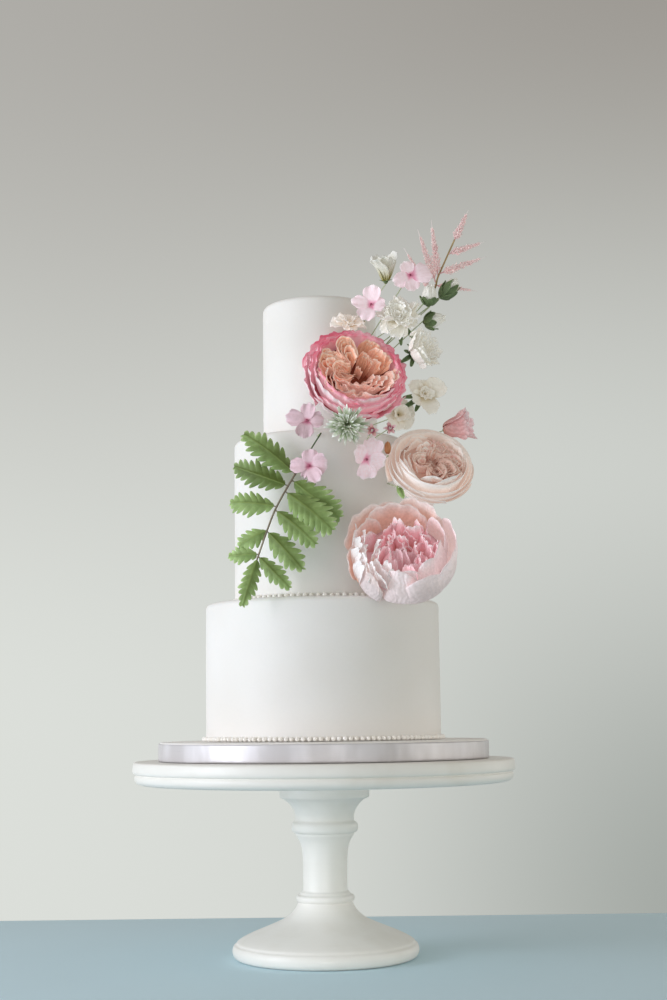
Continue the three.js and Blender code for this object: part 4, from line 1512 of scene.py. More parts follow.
def peony() -> Flower:
    """Open peony: deep pale outer petals round a crowd of narrow pink ones.

    Returns:
        The peony, low on the right of the middle tier.
    """
    spin = 0.2
    shared = dict(foot=(21, 0.5), step=2.4, dip=13, arch=2.2, spin=spin, swell=0.62)
    rows = family(
        Wrap, Finish.PEONY, (51, 52), "reach rise places", (
            (47.5, 34, ((124, 40, 1, 1.14, 0), (70, 33, 0.98, 1.1, 0),
                        (-140, 26, 0.97, 0.9, -9), (176, 27, 0.95, 0.7, -1))),
            (43.5, 34.5, ((98, 42, 0.98, 1.1, -1), (140, 25, 0.96, 1.04, -1)))),
        frill=0.8, waves=17, **shared)
    # The right-hand petals take the paler copy that glows more: partly own tone, partly painted
    # light.
    pale = family(
        Wrap, Finish.PEONY_PALE_LIT, (53, 54), "reach rise places", (
            (47.5, 34, ((24, 30, 1.03, 1.06, -3), (-20, 28, 1.03, 1.02, -6),
                        (-58, 28, 0.99, 1, -12), (-97, 27, 0.92, 1.03, -15))),
            (43.5, 34.5, ((34, 28, 0.96, 1.06, -4), (-6, 25, 0.92, 1.06, -9),
                          (-38, 24, 0.88, 1.08, -14), (-76, 22, 0.82, 1, -13),
                          (-120, 20, 0.86, 0.98, -11)))),
        frill=0.5, waves=11, **shared)
    strips = family(
        Whorl, Finish.PEONY_FRINGE, (61, 62, 67, 68),
        "length width root lift tilt notch frill twist places", (
            (34, 9, 39, 5, (84, 92), 0.16, 0.7, 0.8,
             ((157, 1.05, 1), (172, 1, 0.8), (187, 0.9, 0.9), (203, 0.8, 0.8))),
            (33, 8, 32.5, 6, (84, 92), 0.16, 0.8, 0.9,
             ((163, 1, 1), (181, 0.95, 0.9), (198, 0.9, 1), (216, 0.85, 0.9))),
            (31, 7, 27, 7, (80, 94), 0.12, 0.8, 0.9,
             ((186, 1, 1.1), (204, 0.95, 1.2), (222, 0.9, 1.2), (240, 0.88, 1.2),
              (258, 0.84, 1.2))),
            (31, 6.5, 22, 8, (82, 98), 0.12, 0.9, 1,
             ((176, 1, 1.1), (198, 0.98, 1.1), (220, 0.96, 1.1), (242, 0.94, 1.1)))),
        full=0.62, cup=-2.5, spin=spin, thick=0.5)
    crowd = family(
        Whorl, Finish.PEONY_HEART, range(63, 69), "turn petals length root tilt arc", [
            (0.3 * k, *row, (-85, 170) if k < 2 else (0, 360)) for k, row in enumerate((
                (9, 25, 23, (72, 98)), (8, 26, 18.5, (72, 102)), (10, 26, 14, (72, 104)),
                (8, 26.5, 9.5, (74, 104)), (6, 26, 5.5, (76, 100)), (4, 25, 2, (80, 96))))],
        width=6.2, lift=9, waist=0.4, full=0.62, notch=0.09, cup=-3, frill=1, twist=1.1,
        jitter=1.5, ragged=0.9, thick=0.5, grid=(25, 17))
    return Flower("open_peony", "peony_blush", "petal_peony",
                  Placing((68, -76, 322), (-0.06, -0.84, 0.5), spin), MIDDLE, (-46, 314), 5,
                  (*rows, *pale, *strips, *crowd, (Dish(34, 9, 16), Finish.PEONY_HEART)),
                  sepals=18, base=22.5)


def pink_blossoms() -> List[Flower]:
    """Five lilac-pink blossoms of four or five broad petals round a dark eye.

    Returns:
        The blossoms; those left of the middle take a darker copy of the pink, painted shade,
        and the rest a lighter copy that glows more, painted light.
    """
    rows = (
        ("left", (-10.2, -92, 446.2), (-0.14, -0.97, 0.12), MIDDLE, (-97, 437), 17,
         ((172, 1, 1), (80, 0.98, 1), (2, 0.98, 1.05), (-98, 1, 1.05))),
        ("wall", (-8.6, -96, 407.4), (-0.05, -0.98, 0), MIDDLE, (-96, 407), 16.5,
         ((176, 0.95, 1), (82, 0.9, 1), (6, 1, 1.05), (-62, 0.95, 0.95), (-120, 0.6, 0.6))),
        ("low", (38.2, -88.5, 413.8), (0.3, -0.85, -0.2), MIDDLE, (-64, 417), 18,
         ((150, 0.9, 1), (66, 1, 1.05), (-8, 0.85, 1), (-86, 1, 1.1))),
        ("high", (79.4, -59, 580), (0.1, -0.93, -0.32), TOP, (-30, 533), 17,
         ((112, 0.7, 0.9), (10, 1.04, 1.1), (-74, 0.95, 1.05), (-153, 1.12, 1.05))),
        ("tier", (45.3, -62, 552.6), (-0.1, -0.96, 0.2), TOP, (-43, 541), 16,
         ((84, 1, 1.1), (-4, 0.75, 0.9), (-112, 1, 1.05), (170, 1, 1))))
    eye = (Whorl(2.2, 0.9, 4, root=0.2, lift=0.9, tilt=(60, 80), full=0.8, seed=75,
                 grid=(7, 7)), Finish.PINK_EYE)
    return [
        Flower("pink_blossom_" + name, "blossom_pink_" + name, "petal_pink",
               Placing(at, aim), tier, foot, 3,
               ((Whorl(length, 0.43 * (length + 0.5), root=0.7, lift=0.2, tilt=(26, -8),
                       waist=0.12, full=0.66, blunt=0.28, cup=1, frill=1.3, waves=2.1,
                       seed=70 + k, twist=0.9, jitter=1.3, ragged=0.8, places=places,
                       # Shaded copy of the pink left of the middle, lit copy to the right:
                       # painted shade and painted light.
                       grid=(33, 25)), Finish.PINK_SHADED if at[0] < 0 else Finish.PINK_LIT),
                eye))
        for k, (name, at, aim, tier, foot, length, places) in enumerate(rows)]


def leafy(*leaves: Pair) -> Ring:
    """Green sepals that reach past a blossom's petals.

    Args:
        leaves: angle and length of each.

    Returns:
        The sepals with their finish.
    """
    ring = Whorl(1, 2.1, root=1.5, lift=-2.2, tilt=(-2, -12), waist=0.4, full=0.9,
                 blunt=0.1, cup=0.6, twist=1, seed=110, thick=0.5,
                 places=tuple((*leaf, 1) for leaf in leaves), grid=(9, 13))
    return ring, Finish.GREEN


def white_blossoms() -> List[Flower]:
    """White and cream blossoms: crumpled, cupped, open and trumpet-shaped ones.

    Returns:
        Five white blossoms and the cream one.
    """
    crumpled = family(
        Whorl, Finish.WHITE, (80, 81, 82, 83, 87), "petals length width lift tilt turn", [
            (count, size, 0.4 * size, *rest) for count, size, *rest in (
                (7, 22, 0.2, (34, -6), 0), (8, 19.5, 1.5, (52, 10), 0.5),
                (8, 17, 2.5, (66, 30), 0.2), (7, 14, 3, (78, 50), 0.6),
                (5, 11.5, 3.5, (86, 72), 0.1))],
        full=0.66, blunt=0.3, cup=2.2, frill=1.7, waves=3.1, twist=1.5, jitter=1.6,
        ragged=0.9, grid=(33, 21))
    cup = family(
        Wrap, Finish.WHITE, (84, 85, 86, 88), "petals reach rise foot curl turn", (
            (5, 14.6, 15.5, (3, 0), 2.4, 0), (4, 12.2, 16.5, (2.5, 0.2), 1.6, 0.5),
            (4, 9.4, 16.5, (2, 0.4), 1.4, 0.2), (3, 6, 16, (1.6, 0.5), 1, 0.6)),
        dip=7, frill=1.2, waves=9, swell=0.75, spread=1.2, step=1.6, jitter=1.6, thick=0.5,
        grid=(65, 25))
    shares = "length width lift tilt spin"
    # The open and low blossoms take the darker cream copy of the white: partly own tone, partly
    # painted shade.
    opened = family(
        Whorl, Finish.SHADED_CREAM_WHITE, (90, 91, 92), shares, [
            (18.5 * share, 8.2 * share, *rest) for share, *rest in (
                (1, 0.2, (34, -6), 0), (0.48, 1, (56, 22), 0.7), (0.3, 1.4, (80, 60), 0.2))],
        waist=0.25, full=0.66, blunt=0.28, cup=2, frill=0.9, waves=1.9, twist=0.8,
        ragged=0.9, grid=(33, 21),
        places=((142, 0.95, 1.05), (30, 1.05, 1.1), (-74, 1.12, 1.1), (-150, 0.72, 0.8),
                (84, 0.7, 0.8)))
    low = family(
        Whorl, Finish.SHADED_CREAM_WHITE, (95, 96), "length width lift tilt turn", [
            (15 * share, 7.4 * share, *rest) for share, *rest in (
                (1, 0.2, (32, -4), 0.2), (0.66, 1, (58, 30), 0.7))],
        petals=5, full=0.66, blunt=0.28, cup=1.8, frill=0.8, waves=2, twist=0.7,
        grid=(21, 17))
    trumpet = family(
        Whorl, Finish.TRUMPET, (100, 101),
        "petals length width root lift tilt blunt frill turn jitter grid", (
            (5, 25, 7.2, 1, -1, (86, 34), 0.2, 1.2, 0, 1.2, (25, 25)),
            (3, 20, 5.5, 0.6, -0.5, (88, 66), 0.35, 1, 0.4, 1, (21, 21))),
        waist=0.22, full=0.62, cup=1.8, waves=2.2, twist=0.8)
    cream = family(
        Whorl, Finish.CREAM, (120, 121, 122), shares, [
            (16 * share, 6.5 * share, *rest) for share, *rest in (
                (1, -5, (10, -14), 0.6), (0.8, -4, (30, 0), 0.9), (0.52, -3, (60, 30), 0.3))],
        full=0.66, blunt=0.28, cup=1.8, frill=1.3, waves=2.4, twist=1.1,
        grid=(21, 17), places=((172, 1, 1), (128, 0.9, 1), (84, 0.95, 1), (40, 1, 1),
                               (-6, 0.95, 1), (-64, 0.45, 0.7), (-122, 0.45, 0.7)))
    crumpled += (leafy((-70, 24), (-98, 21), (-128, 18)),)
    opened += (leafy((188, 19), (214, 21), (240, 17)),)
    cup += (leafy((176, 13), (206, 17), (236, 15), (100, 9), (30, 9)),)
    rows = (
        ("full", (70, -54, 541), (-0.1, -0.8, 0.4), 0.2, (-36, 526), crumpled, 8),
        ("side", (83, -54, 512), (0.72, -0.66, 0.22), 0.1, (-14, 497), cup, 7),
        ("open", (89, -57, 474.5), (0.35, -0.9, 0.1), 0, (-14, 478), opened, 8),
        ("low", (67, -55, 457.5), (0.3, -0.92, 0.1), 0.2, (-34, 453), low, 6),
        ("tall", (58.6, -50, 578), (-0.05, -0.35, 0.92), 0.3, (-40, 552), trumpet, 5))
    made = [Flower("white_blossom_" + name, "blossom_white_" + name, "petal_white",
                   Placing(at, aim, spin), TOP, foot, 3, rings, sepals)
            for name, at, aim, spin, foot, rings, sepals in rows]
    return made + [Flower("cream_blossom", "blossom_cream", "petal_white",
                          Placing((27, -57.5, 540.3), (0.1, -0.65, 0.75), 0.6), TOP,
                          (-62, 535), 3, cream)]


def florets() -> List[Flower]:
    """Two tiny pink-white florets beside the green head.

    Returns:
        The left one and the right one.
    """
    rows = (("left", (43.5, -97, 436.5), 0.2, (-60, 432)),
            ("right", (58.6, -91, 439.5), 0.6, (-54, 436)))
    return [
        Flower("tiny_floret_" + name, "floret_" + name, "petal_white",
               Placing(at, (0.05, -1, -0.1), spin), MIDDLE, foot, 2,
               ((Whorl(5.6, 1.5, 5, root=0.3, lift=0.2, tilt=(30, 5), waist=0.4, full=0.8,
                       cup=0.5, seed=130 + k, grid=(7, 9)), Finish.PINK_BUD),
                (Whorl(3.6, 0.9, 5, root=0.3, lift=0.3, tilt=(65, 30), turn=0.5,
                       full=0.85, seed=133 + k, grid=(5, 7)), Finish.PINK_EYE),
                (Whorl(2.6, 0.35, 7, root=0.3, lift=0.4, tilt=(70, 60), full=0.9,
                       seed=135 + k, grid=(5, 7)), Finish.WHITE)), sepals=4)
        for k, (name, at, spin, foot) in enumerate(rows)]


def green_head() -> Flower:
    """Round head of narrow sage bracts with pale tips round fine white stamens.

    Returns:
        The head, in front of the middle tier's upper edge.
    """
    bracts = family(
        Whorl, Finish.SAGE, range(141, 147), "turn petals length width lift tilt", [
            (0.37 * k, *row) for k, row in enumerate((
                (16, 16, 1.25, 2, (14, -8)), (17, 16, 1.2, 3.5, (30, 4)),
                (17, 14.5, 1.15, 5, (46, 22)), (15, 13, 1.1, 6, (60, 40)),
                (12, 11.5, 1.05, 6.5, (72, 56)), (7, 10.5, 0.9, 7, (82, 72))))],
        root=1.5, waist=0.5, full=0.93, blunt=0.1, cup=0.4, twist=1.2, jitter=1.6, thick=0.5,
        grid=(7, 13))
    stamens = family(
        Whorl, Finish.WHITE, (147, 148), "length width root lift tilt", (
            (11.5, 0.55, 1.4, 7, (66, 50)), (13, 0.5, 3, 5, (50, 34))),
        petals=12, full=0.9, jitter=2, grid=(5, 7))
    return Flower("green_head", "head_green", "sage",
                  Placing((22.6, -96, 441), (0.02, -0.99, -0.1)), MIDDLE, (-73, 434), 3,
                  bracts + stamens + ((Dish(6, 0.5, 2.5), Finish.GREEN),))


def bud_radius(radius: float, t: Array) -> Array:
    """Radius of a bud at a share of its length: a power of the sine along it."""
    return radius * np.sin(math.pi * t ** 0.8) ** 0.75


@dataclass(frozen=True)
class Kernel:
    """Pointed round body of a bud."""

    radius: float
    length: float

    def build(self) -> Surface:
        """The body, turned about the bud's aim.

        Returns:
            The body, closed at both ends.
        """
        t = np.linspace(0.02, 0.98, 14)
        body = revolve(np.stack([bud_radius(self.radius, t), self.length * t], -1), 18)
        body.uv[:, 1] = body.points[:, 2] / self.length
        return body


@dataclass(frozen=True)
class Hug:
    """Petals or sepals that hug a bud's body up to a share of its length."""

    petals: int
    radius: float
    length: float
    top: float
    half: float
    gap: float = 0.4
    flare: float = 0.0
    point: float = 1.0
    frill: float = 0.0
    turn: float = 0.0
    thick: float = 0.5
    seed: int = 1
    grid: Tuple[int, int] = (13, 15)

    def build(self) -> Surface:
        """Sheets in the bud's own frame.

        The radius is the body's own, a power of a sine of the height, plus a gap, a
        flare with the fourth power of v and a frill. The half-angle narrows to the tip
        with one less a power of v.

        Returns:
            The sheets, side 1 on their backs.
        """
        n = self.petals
        draw, tints = chances(self.seed, n, 5)
        u = np.linspace(-1, 1, self.grid[0])[None, :, None]
        v = np.linspace(0, 1, self.grid[1])[None, None, :]
        t = 0.04 + (self.top * (1 + 0.08 * draw[0]) - 0.04) * v
        narrow = (1 - self.point * v ** 3) ** 0.7 + 0.04
        angle = (TURN * (np.arange(n)[:, None, None] + self.turn + 0.1 * draw[1]) / n
                 + math.radians(self.half) * u * narrow)
        radius = (bud_radius(self.radius, np.clip(t, 0.01, 0.97)) + self.gap * (1 + 0.5 * u)
                  + self.flare * v ** 4 * (1 + 0.5 * draw[2])
                  + self.frill * v ** 3 * np.sin(7 * u + 5 * draw[3]))
        height = self.length * t + 0.6 * self.frill * v ** 3 * np.sin(9 * u + 5 * draw[4])
        return sheets(turned(radius, angle, height), self.thick, tints)


def buds() -> List[Flower]:
    """Three green-sepalled white buds and one tiny peach bud.

    Returns:
        The buds, the peach one last.
    """
    rows = (
        ("front", (95, -52, 554), (97, -57, 571), 6.3, (-27, 515), 0.48, 0.98),
        ("upper", (106, -46, 563), (122, -48, 578), 5.7, (-18, 526), 0.88, 0.96),
        ("side", (91, -47, 541), (108, -49, 543.5), 6.4, (-16, 511), 0.64, 1.08))
    made = []
    for k, (name, start, end, radius, foot, cover, white_top) in enumerate(rows):
        aim = tuple(b - a for a, b in zip(start, end))
        size = math.dist(start, end)
        petals = family(
            Hug, Finish.WHITE, (150 + k, 153 + k), "petals radius top half flare turn", (
                (5, 0.9 * radius, 0.92 * white_top, 50, 1.2, 0),
                (4, 0.74 * radius, white_top, 46, 1.4, 0.5)),
            length=size, frill=1.1, point=0.3, grid=(25, 17))
        sepals = family(
            Hug, Finish.GREEN, (156 + k, 186 + k), "top half gap flare frill turn", (
                (cover, 29, 0.9, 1.6, 0.35, 0), (0.72 * cover, 27, 1.2, 1.2, 0.3, 0.5)),
            petals=5, radius=radius, length=size)
        ruff = (Whorl(0.5 * size, 0.1 * size, 4, root=0.6, lift=-0.4, tilt=(30, 55),
                      waist=0.6, full=0.94, turn=0.5, seed=160 + k, grid=(7, 11)),
                Finish.GREEN)
        made.append(Flower("green_bud_" + name, "bud_" + name, "bud_green",
                           Placing(start, aim), TOP, foot, 2,
                           ((Kernel(0.8 * radius, 0.86 * size), Finish.WHITE),
                            *petals, *sepals, ruff)))
    made.append(Flower(
        "peach_bud", "bud_peach", "bud_peach",
        Placing((56.6, -82, 419), (0.4, -1.6, 11)), MIDDLE, (-56, 414), 2,
        ((Kernel(2.2, 11), Finish.PEACH_BUD),
         (Hug(3, 2.3, 11, 0.9, 50, gap=0.2, flare=0.5, frill=0.2, seed=165),
          Finish.PEACH_BUD)), wire=0.5))
    return made


def pink_bud() -> Flower:
    """Half-open pink bud: a frilled funnel out of a small green calyx.

    Returns:
        The bud, on its wire at the right.
    """
    funnel = family(
        Wrap, Finish.PINK_BUD, (171, 172, 174),
        "petals reach rise foot frill waves dip curl swell climb turn step thick spread grid",
        ((4, 9.6, 24.5, (1.2, -0.5), 1.3, 8, 5.5, 3, 0.46, 0.85, 0, 1.6, 0.6, 1.15, (65, 25)),
         (3, 6.8, 22.5, (1, -0.2), 1.3, 7, 5, 1.8, 0.5, 0.85, 0.3, 1.2, 0.6, 1.25, (65, 25)),
         (3, 3.6, 20, (0.8, 0), 1.2, 7, 6, 1, 0.7, 0.8, 0.8, 1, 0.5, 1.25, (49, 21))),
        arch=2.4)
    calyx = (Whorl(7, 1.3, 4, root=1.2, lift=-1.4, tilt=(60, 70), waist=0.7, full=0.92,
                   cup=-0.4, seed=173, grid=(7, 9)), Finish.GREEN)
    return Flower("pink_bud", "bud_pink", "petal_pink",
                  Placing((108, -38, 447), (0.93, -0.3, 0.2), 0.4), MIDDLE, (-14, 439), 2,
                  (*funnel, calyx))


# ---- leaves and plume ----------------------------------------------------------------------

@dataclass(frozen=True)
class Leaflet:
    """Deeply lobed leaflet from its joint on the stem to its tip."""

    base: Any
    tip: Triple
    width: float
    lobes: int
    lean: Triple = (0.0, -1.0, 0.2)
    arch: float = 0.08
    sweep: float = 0.75
    cut: float = 0.5
    stalk: float = 0.05
    tone: float = 0.5
    seed: int = 1
    thick: float = 0.7

    def build(self) -> Surface:
        """Sheet of the leaflet in the cake's frame.

        With v along the midrib and u across, the half width is an envelope, a power of a
        sine, times a row of rounded lobes, the power of a rectified sine. Points move
        forward with u so that the lobes point to the tip. The blade arches along its
        length, droops to its edges and has a raised rib and side veins.

        Returns:
            The leaflet.
        """
        rng = np.random.default_rng(self.seed)
        along = np.array(self.tip) - self.base
        length = float(np.linalg.norm(along))
        x = along / length
        y = unit(np.cross(np.array(self.lean), x))
        z = np.cross(x, y)
        u = np.linspace(-1, 1, 25)[:, None]
        v = np.linspace(0, 1, 165)[None, :]
        wave = v * self.lobes + 0.1 + 0.25 * np.sign(u)
        phase = wave - np.floor(wave)
        tooth = np.clip(np.sin(math.pi * phase), 0, 1) ** 0.6
        swell = np.sin(math.pi * (0.03 + 0.91 * v) ** 0.72) ** 0.75
        size = 1 + 0.1 * np.sin(2.3 * self.lobes * v + 3 * self.seed)
        half = self.width * 1.12 * swell * size * (1 - self.cut + self.cut * tooth)
        half = np.maximum(half, 0.9 * (1 - v ** 6))
        rise = np.abs(u)
        run = length * (self.stalk + (0.96 - self.stalk) * v) + self.sweep * half * rise
        bow = self.arch * length * np.sin(math.pi * v)
        droop = -0.22 * half * rise ** 1.6
        rib = 0.7 * np.exp(-(u * half / 0.9) ** 2)
        vein = 0.16 * np.cos(TURN * (phase - 0.5)) * rise * (1 - rise ** 4)
        curl = 0.9 * np.sin(3 * v + rng.uniform(0, 6)) * u + 0.5 * np.sin(
            1.3 * self.lobes * v + self.seed) * rise ** 2
        height = bow + droop + rib + vein + curl
        grid = (self.base + run[..., None] * x + (half * u)[..., None] * y
                + height[..., None] * z)
        return sheets(grid[None], self.thick, np.array([self.tone]), thin_edge=0.5)

    def petiole(self) -> Surface:
        """Short stalk from the stem into the blade."""
        along = (np.array(self.tip) - self.base) * (self.stalk + 0.12)
        return tube(spline([self.base, self.base + along], 5), np.linspace(0.55, 0.4, 5), 6)


def hooked(stem: Sequence[Triple], tier: Tier, foot: Pair) -> Part:
    """Short wire that holds the first point of a stem to a tier."""
    return tube(spline([stem[0], tier.wire_foot(foot)], 4), 0.6, 8), Finish.STEM


@dataclass(frozen=True)
class LeafSpray:
    """Eleven leaflets on one curved stem.

    Each is given by its joint, counted in the stem's knots from the top, its tip, its
    half width, its number of lobes and its tone.
    """

    stem: Tuple[Triple, ...] = (
        (1.2, -83, 437.5), (-21.5, -92, 400), (-36, -97, 373.5), (-43, -99, 356),
        (-52, -101, 330))
    foot: Pair = (-91.5, 436)
    leaflets: Tuple[Tuple[float, Triple, float, int, float], ...] = (
        (0.95, (-64.9, -84, 438.1), 10.5, 8, 0.15), (1.32, (-73.2, -80, 410.9), 10.5, 8, -0.3),
        (1.98, (-75.9, -84, 379.2), 10, 7, 0.75), (3.06, (-67.9, -94, 341.2), 8, 5, 1.0),
        (3.83, (-76.3, -92, 333.7), 6.5, 5, 0.9), (3.94, (-63.9, -111, 289.9), 7, 7, 0.75),
        (3.9, (-24.2, -112, 304.2), 7, 6, 0.4), (3.1, (-13.9, -110, 319.2), 9.5, 6, 0.25),
        (2.14, (-2.9, -108, 339.7), 9.5, 7, 0.4), (1.5, (11, -106, 351.2), 13, 8, 0.45),
        (1.13, (17.5, -90, 364), 12, 8, 0.3))

    def stem_at(self, joint: float) -> Array:
        """Point of the stem.

        Args:
            joint: count of knots from the top.

        Returns:
            The point.
        """
        k = min(int(joint), len(self.stem) - 2)
        a, b = np.array(self.stem[k]), np.array(self.stem[k + 1])
        return a + (b - a) * (joint - k)

    def build(self, shop: Workshop) -> None:
        """Make the spray as one piece.

        Args:
            shop: makes the pieces.
        """
        rng = np.random.default_rng(7)
        parts: List[Part] = []
        for k, (joint, tip, width, lobes, tone) in enumerate(self.leaflets):
            lean = (0.12 * rng.uniform(-1, 1), -1.0, 0.25 * rng.uniform(-1, 1))
            leaf = Leaflet(self.stem_at(joint), tip, width, lobes, lean, tone=tone,
                           seed=k + 1)
            parts += [(leaf.build(), Finish.LEAF), (leaf.petiole(), Finish.TWIG)]
        path = spline(self.stem, 40)
        parts += [(tube(path[7:], np.linspace(0.85, 0.75, 33), 10), Finish.TWIG),
                  (tube(path[:9], 0.62, 8), Finish.GREEN),
                  hooked(self.stem, MIDDLE, self.foot)]
        shop.piece("leaf_spray_dressed", parts, "leaf", "leaf_spray")


@dataclass(frozen=True)
class SmallLeaf:
    """Single small leaf on a wire under the blush rose."""

    base: Triple = (64.5, -87, 391)
    bend: Triple = (64.9, -87.4, 390)
    tip: Triple = (69.1, -94, 379.4)
    width: float = 2.6
    foot: Pair = (-42, 399)

    def build(self, shop: Workshop) -> None:
        """Make the leaf as one piece.

        Args:
            shop: makes the pieces.
        """
        leaf = Leaflet(np.array(self.base), self.tip, self.width, 1, sweep=0.1, cut=0.1,
                       stalk=0, seed=31, thick=0.6)
        path = spline([self.base, self.bend, MIDDLE.wire_foot(self.foot)], 10)
        shop.piece("small_leaf", [(leaf.build(), Finish.LEAF),
                                  (tube(path, 0.7, 8), Finish.STEM)], "leaf", "leaf_small")


@dataclass(frozen=True)
class Plume:
    """Feathery flower head: slender stems crowded with tiny florets that point outward.

    Each plume is given by its foot, its tip and the reach of its florets at their widest.
    """

    stem: Tuple[Triple, ...] = ((60, -17, 530), (98, -34, 568.4), (106, -36, 586.4),
                                (120.6, -36, 618.4))
    foot: Pair = (-8, 517)
    plumes: Tuple[Tuple[Triple, Triple, float], ...] = (
        ((120, -36, 617), (133.4, -36, 645.2), 6.4),
        ((105.4, -35.6, 584.9), (100.3, -36.5, 636.8), 5.8),
        ((103.1, -35.2, 579.9), (88.2, -33.5, 629), 6.2),
        ((114.6, -36, 605.2), (147.7, -36, 616.3), 5.4),
        ((106.6, -36.2, 587.6), (148.8, -37, 602.5), 6.2),
        ((102.1, -35, 577.6), (139.9, -32, 572.3), 2.6),
        ((99.1, -34.2, 570.9), (75.7, -30, 613.3), 3.0))
    pitch: float = 0.11

    def florets(self, start: Triple, end: Triple, radius: float, seed: int) -> Surface:
        """Seed-shaped florets on a spiral up one plume.

        Args:
            start: foot of the plume.
            end: tip of the plume.
            radius: reach of the florets at their widest.
            seed: seed of the random draws.

        Returns:
            The florets, leaning 18 to 52 degrees off the stem and shorter to the tip.
        """
        rng = np.random.default_rng(seed)
        a, b = np.array(start, float), np.array(end, float)
        length = float(np.linalg.norm(b - a))
        z = (b - a) / length
        x = unit(np.cross(z, [0.3, 1.0, 0.2]))
        y = np.cross(z, x)
        n = int(length / self.pitch)
        t = 0.08 + 0.76 * np.sort(rng.uniform(0.0, 1.0, n) ** 1.1)
        angle = 2.4 * np.arange(n) + rng.uniform(-0.5, 0.5, n)
        outward = x * np.cos(angle)[:, None] + y * np.sin(angle)[:, None]
        lean = np.radians(rng.uniform(18, 52, n))[:, None]
        axis = unit(z * np.cos(lean) + outward * np.sin(lean))
        wide = np.clip(1.06 - t, 0.05, 1) ** 1.1 * (0.4 + 0.6 * ease(t, 0.05, 0.2))
        away = rng.uniform(0.05, 0.62, n) * radius * wide
        size = rng.uniform(2.6, 5.0, n) * (0.35 + 0.65 * wide)
        u = unit(np.cross(axis, z + 1e-3))
        girth = (rng.uniform(0.3, 0.62, n) * (0.5 + 0.5 * wide))[:, None]
        bases = np.stack([u * girth, np.cross(axis, u) * girth, axis * size[:, None]], 1)
        centres = a + outward * away[:, None] + z * (t * length)[:, None]
        return scatter(spindle(4), centres, bases, rng.uniform(0, 1, n))

    def build(self, shop: Workshop) -> None:
        """Make the plume as one piece.

        Args:
            shop: makes the pieces.
        """
        parts: List[Part] = []
        for k, (start, end, radius) in enumerate(self.plumes):
            line = tube(spline([start, end], 12), np.linspace(0.6, 0.22, 12), 6)
            parts += [(self.florets(start, end, radius, 180 + k), Finish.PLUME),
                      (line, Finish.PLUME)]
        path = spline(self.stem, 40)
        parts += [(tube(path[11:], np.linspace(0.85, 0.7, 29), 8), Finish.GOLDEN),
                  (tube(path[:13], 0.6, 8), Finish.STEM),
                  hooked(self.stem, TOP, self.foot)]
        shop.piece("feather_plume", parts, "plume", "plume_pink")


# ---- room --------------------------------------------------------------------------------

@dataclass(frozen=True)
class Lamp:
    """Rectangular soft light: places and sizes in millimetres, watts, spread in degrees."""

    name: str
    at: Triple
    aim: Triple
    size: Pair
    power: float
    tone: str
    spread: float = 180.0

    def build(self) -> None:
        """Make the light and turn it to its aim."""
        data = bpy.data.lights.new(self.name, "AREA")
        data.shape = "RECTANGLE"
        data.size, data.size_y = (side * MM for side in self.size)
        data.energy = self.power
        data.color = paint(self.tone)[:3]
        data.spread = math.radians(self.spread)
        made = bpy.data.objects.new(self.name, data)
        at = Vector(self.at)
        made.location = at * MM
        made.rotation_euler = (Vector(self.aim) - at).to_track_quat("-Z", "Y").to_euler()
        bpy.context.scene.collection.objects.link(made)


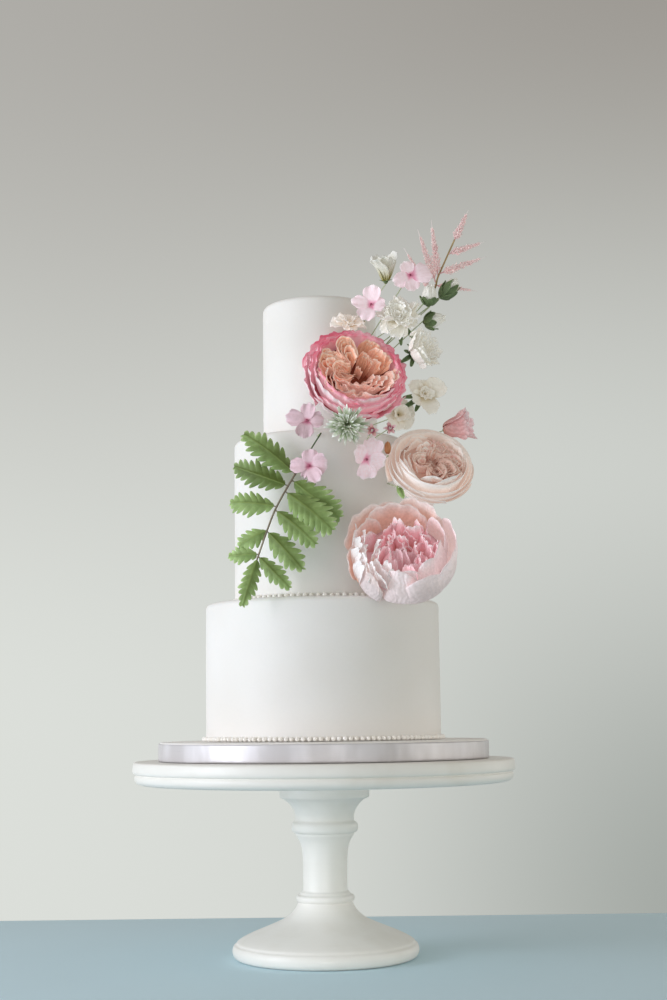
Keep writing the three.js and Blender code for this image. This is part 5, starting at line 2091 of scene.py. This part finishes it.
@dataclass(frozen=True)
class Studio:
    """Pale table, pale surroundings, soft light from the left, and the camera."""

    table_back: float = 275.0
    table_half: float = 850.0
    table_front: float = -700.0
    table_thick: float = 30.0
    camera_at: Triple = (10.93, -1361.84, 198.85)
    pitch: float = 8.097
    roll: float = 0.684
    lens_pixels: float = 1553.47
    image_height: float = 1000.0
    sensor: float = 36.0
    table_tone: str = "#d3ecf6"
    lamps: Tuple[Lamp, ...] = (
        Lamp("window", (-1420, -720, 430), (0, 0, 285), (900, 1000), 15.8, "#eff3ff"),
        Lamp("low_fill", (150, -3000, 60), (0, 0, -100), (1000, 200), 0.33, "#fdfaf6", 14),
        Lamp("right_fill", (1900, -500, 220), (0, 0, 180), (1500, 1100), 5.8, "#fff8ee"),
        Lamp("rim_fill", (1350, 760, 260), (60, -20, 220), (500, 900), 0.22, "#fff8f2", 70))

    def table(self) -> None:
        """Flat slab whose rear edge makes the horizon."""
        x, y0, y1, z = self.table_half, self.table_front, self.table_back, self.table_thick
        points = np.array([(-x, y0, 0), (x, y0, 0), (x, y1, 0), (-x, y1, 0),
                           (-x, y0, -z), (x, y0, -z), (x, y1, -z), (-x, y1, -z)], float)
        quads = ((0, 1, 2, 3), (7, 6, 5, 4), (4, 5, 1, 0), (5, 6, 2, 1), (6, 7, 3, 2),
                 (7, 4, 0, 3))
        s = Shader("table_top")
        tone = s.toned(paint(self.table_tone), 0.97 + s.noise(3, 3) * 0.06)
        mesh = bpy.data.meshes.new("table")
        mesh.from_pydata((points * MM).tolist(), [], quads)
        mesh.materials.append(s.finish({"Base Color": tone, "Roughness": 0.8}))
        made = bpy.data.objects.new("table", mesh)
        bpy.context.scene.collection.objects.link(made)
        made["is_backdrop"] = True

    def air(self) -> None:
        """Pale surroundings: darker overhead, lighter low down and to the left."""
        s = Shader("air", "worlds")
        bpy.context.scene.world = s.made
        right, _, up = s.parts(s.node("TexCoord").outputs["Generated"])
        low = s.mix(right.step(-0.25, 0.25), "#dcdfda", "#cccfca")
        dusk = (1 - up.step(-0.12, 0.17)) * right.step(-0.05, 0.25)
        low = s.mix(dusk, low, "#a2a7a2")
        high = s.mix(right.step(-0.25, 0.25), "#aeaca7", "#9c9892")
        side = right.step(-0.2, 0.15)
        dim = up.step(0.0, 0.46) * (1 - side) + up.step(0.14, 0.46) * side
        back = s.node("Background", {"Color": s.mix(dim, low, high), "Strength": 1.0})
        s.node("OutputWorld", {"Surface": back.outputs[0]})

    def camera(self) -> None:
        """Camera with its axes worked out from its pitch and roll."""
        p, r = math.radians(self.pitch), math.radians(self.roll)
        right0, up0 = Vector((1, 0, 0)), Vector((0, -math.sin(p), math.cos(p)))
        ahead = Vector((0, math.cos(p), math.sin(p)))
        right = right0 * math.cos(r) - up0 * math.sin(r)
        up = right0 * math.sin(r) + up0 * math.cos(r)
        data = bpy.data.cameras.new("camera")
        data.sensor_width = self.sensor
        data.lens = self.lens_pixels / self.image_height * self.sensor
        data.clip_start, data.clip_end = 0.05, 30
        made = bpy.data.objects.new("camera", data)
        axes = Matrix((right, up, -ahead)).transposed().to_4x4()
        made.matrix_world = Matrix.Translation(Vector(self.camera_at) * MM) @ axes
        bpy.context.scene.collection.objects.link(made)
        bpy.context.scene.camera = made

    def build(self, shop: Workshop) -> None:
        """Make the table, the surroundings, the lights and the camera.

        Args:
            shop: not needed here, because none of these is a piece of the cake.
        """
        self.table()
        self.air()
        for lamp in self.lamps:
            lamp.build()
        self.camera()
        view = bpy.context.scene.view_settings
        view.view_transform, view.look = "Standard", "None"


# ---- main --------------------------------------------------------------------------------

def main() -> List[List[float]]:
    """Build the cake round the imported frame.

    Returns:
        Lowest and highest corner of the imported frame.
    """
    logging.basicConfig(level=logging.INFO, format="%(name)s %(message)s")
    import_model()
    frame_box = [list(corner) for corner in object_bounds()]
    shop = Workshop()
    builders = [Studio(), Stand(), Board(), BOTTOM, MIDDLE, TOP, coral_rose(), blush_rose(),
                peony(), *pink_blossoms(), *white_blossoms(), *florets(), green_head(),
                *buds(), pink_bud(), LeafSpray(), SmallLeaf(), Plume()]
    for builder in builders:
        builder.build(shop)
    return frame_box


if __name__ == "__main__":
    main()
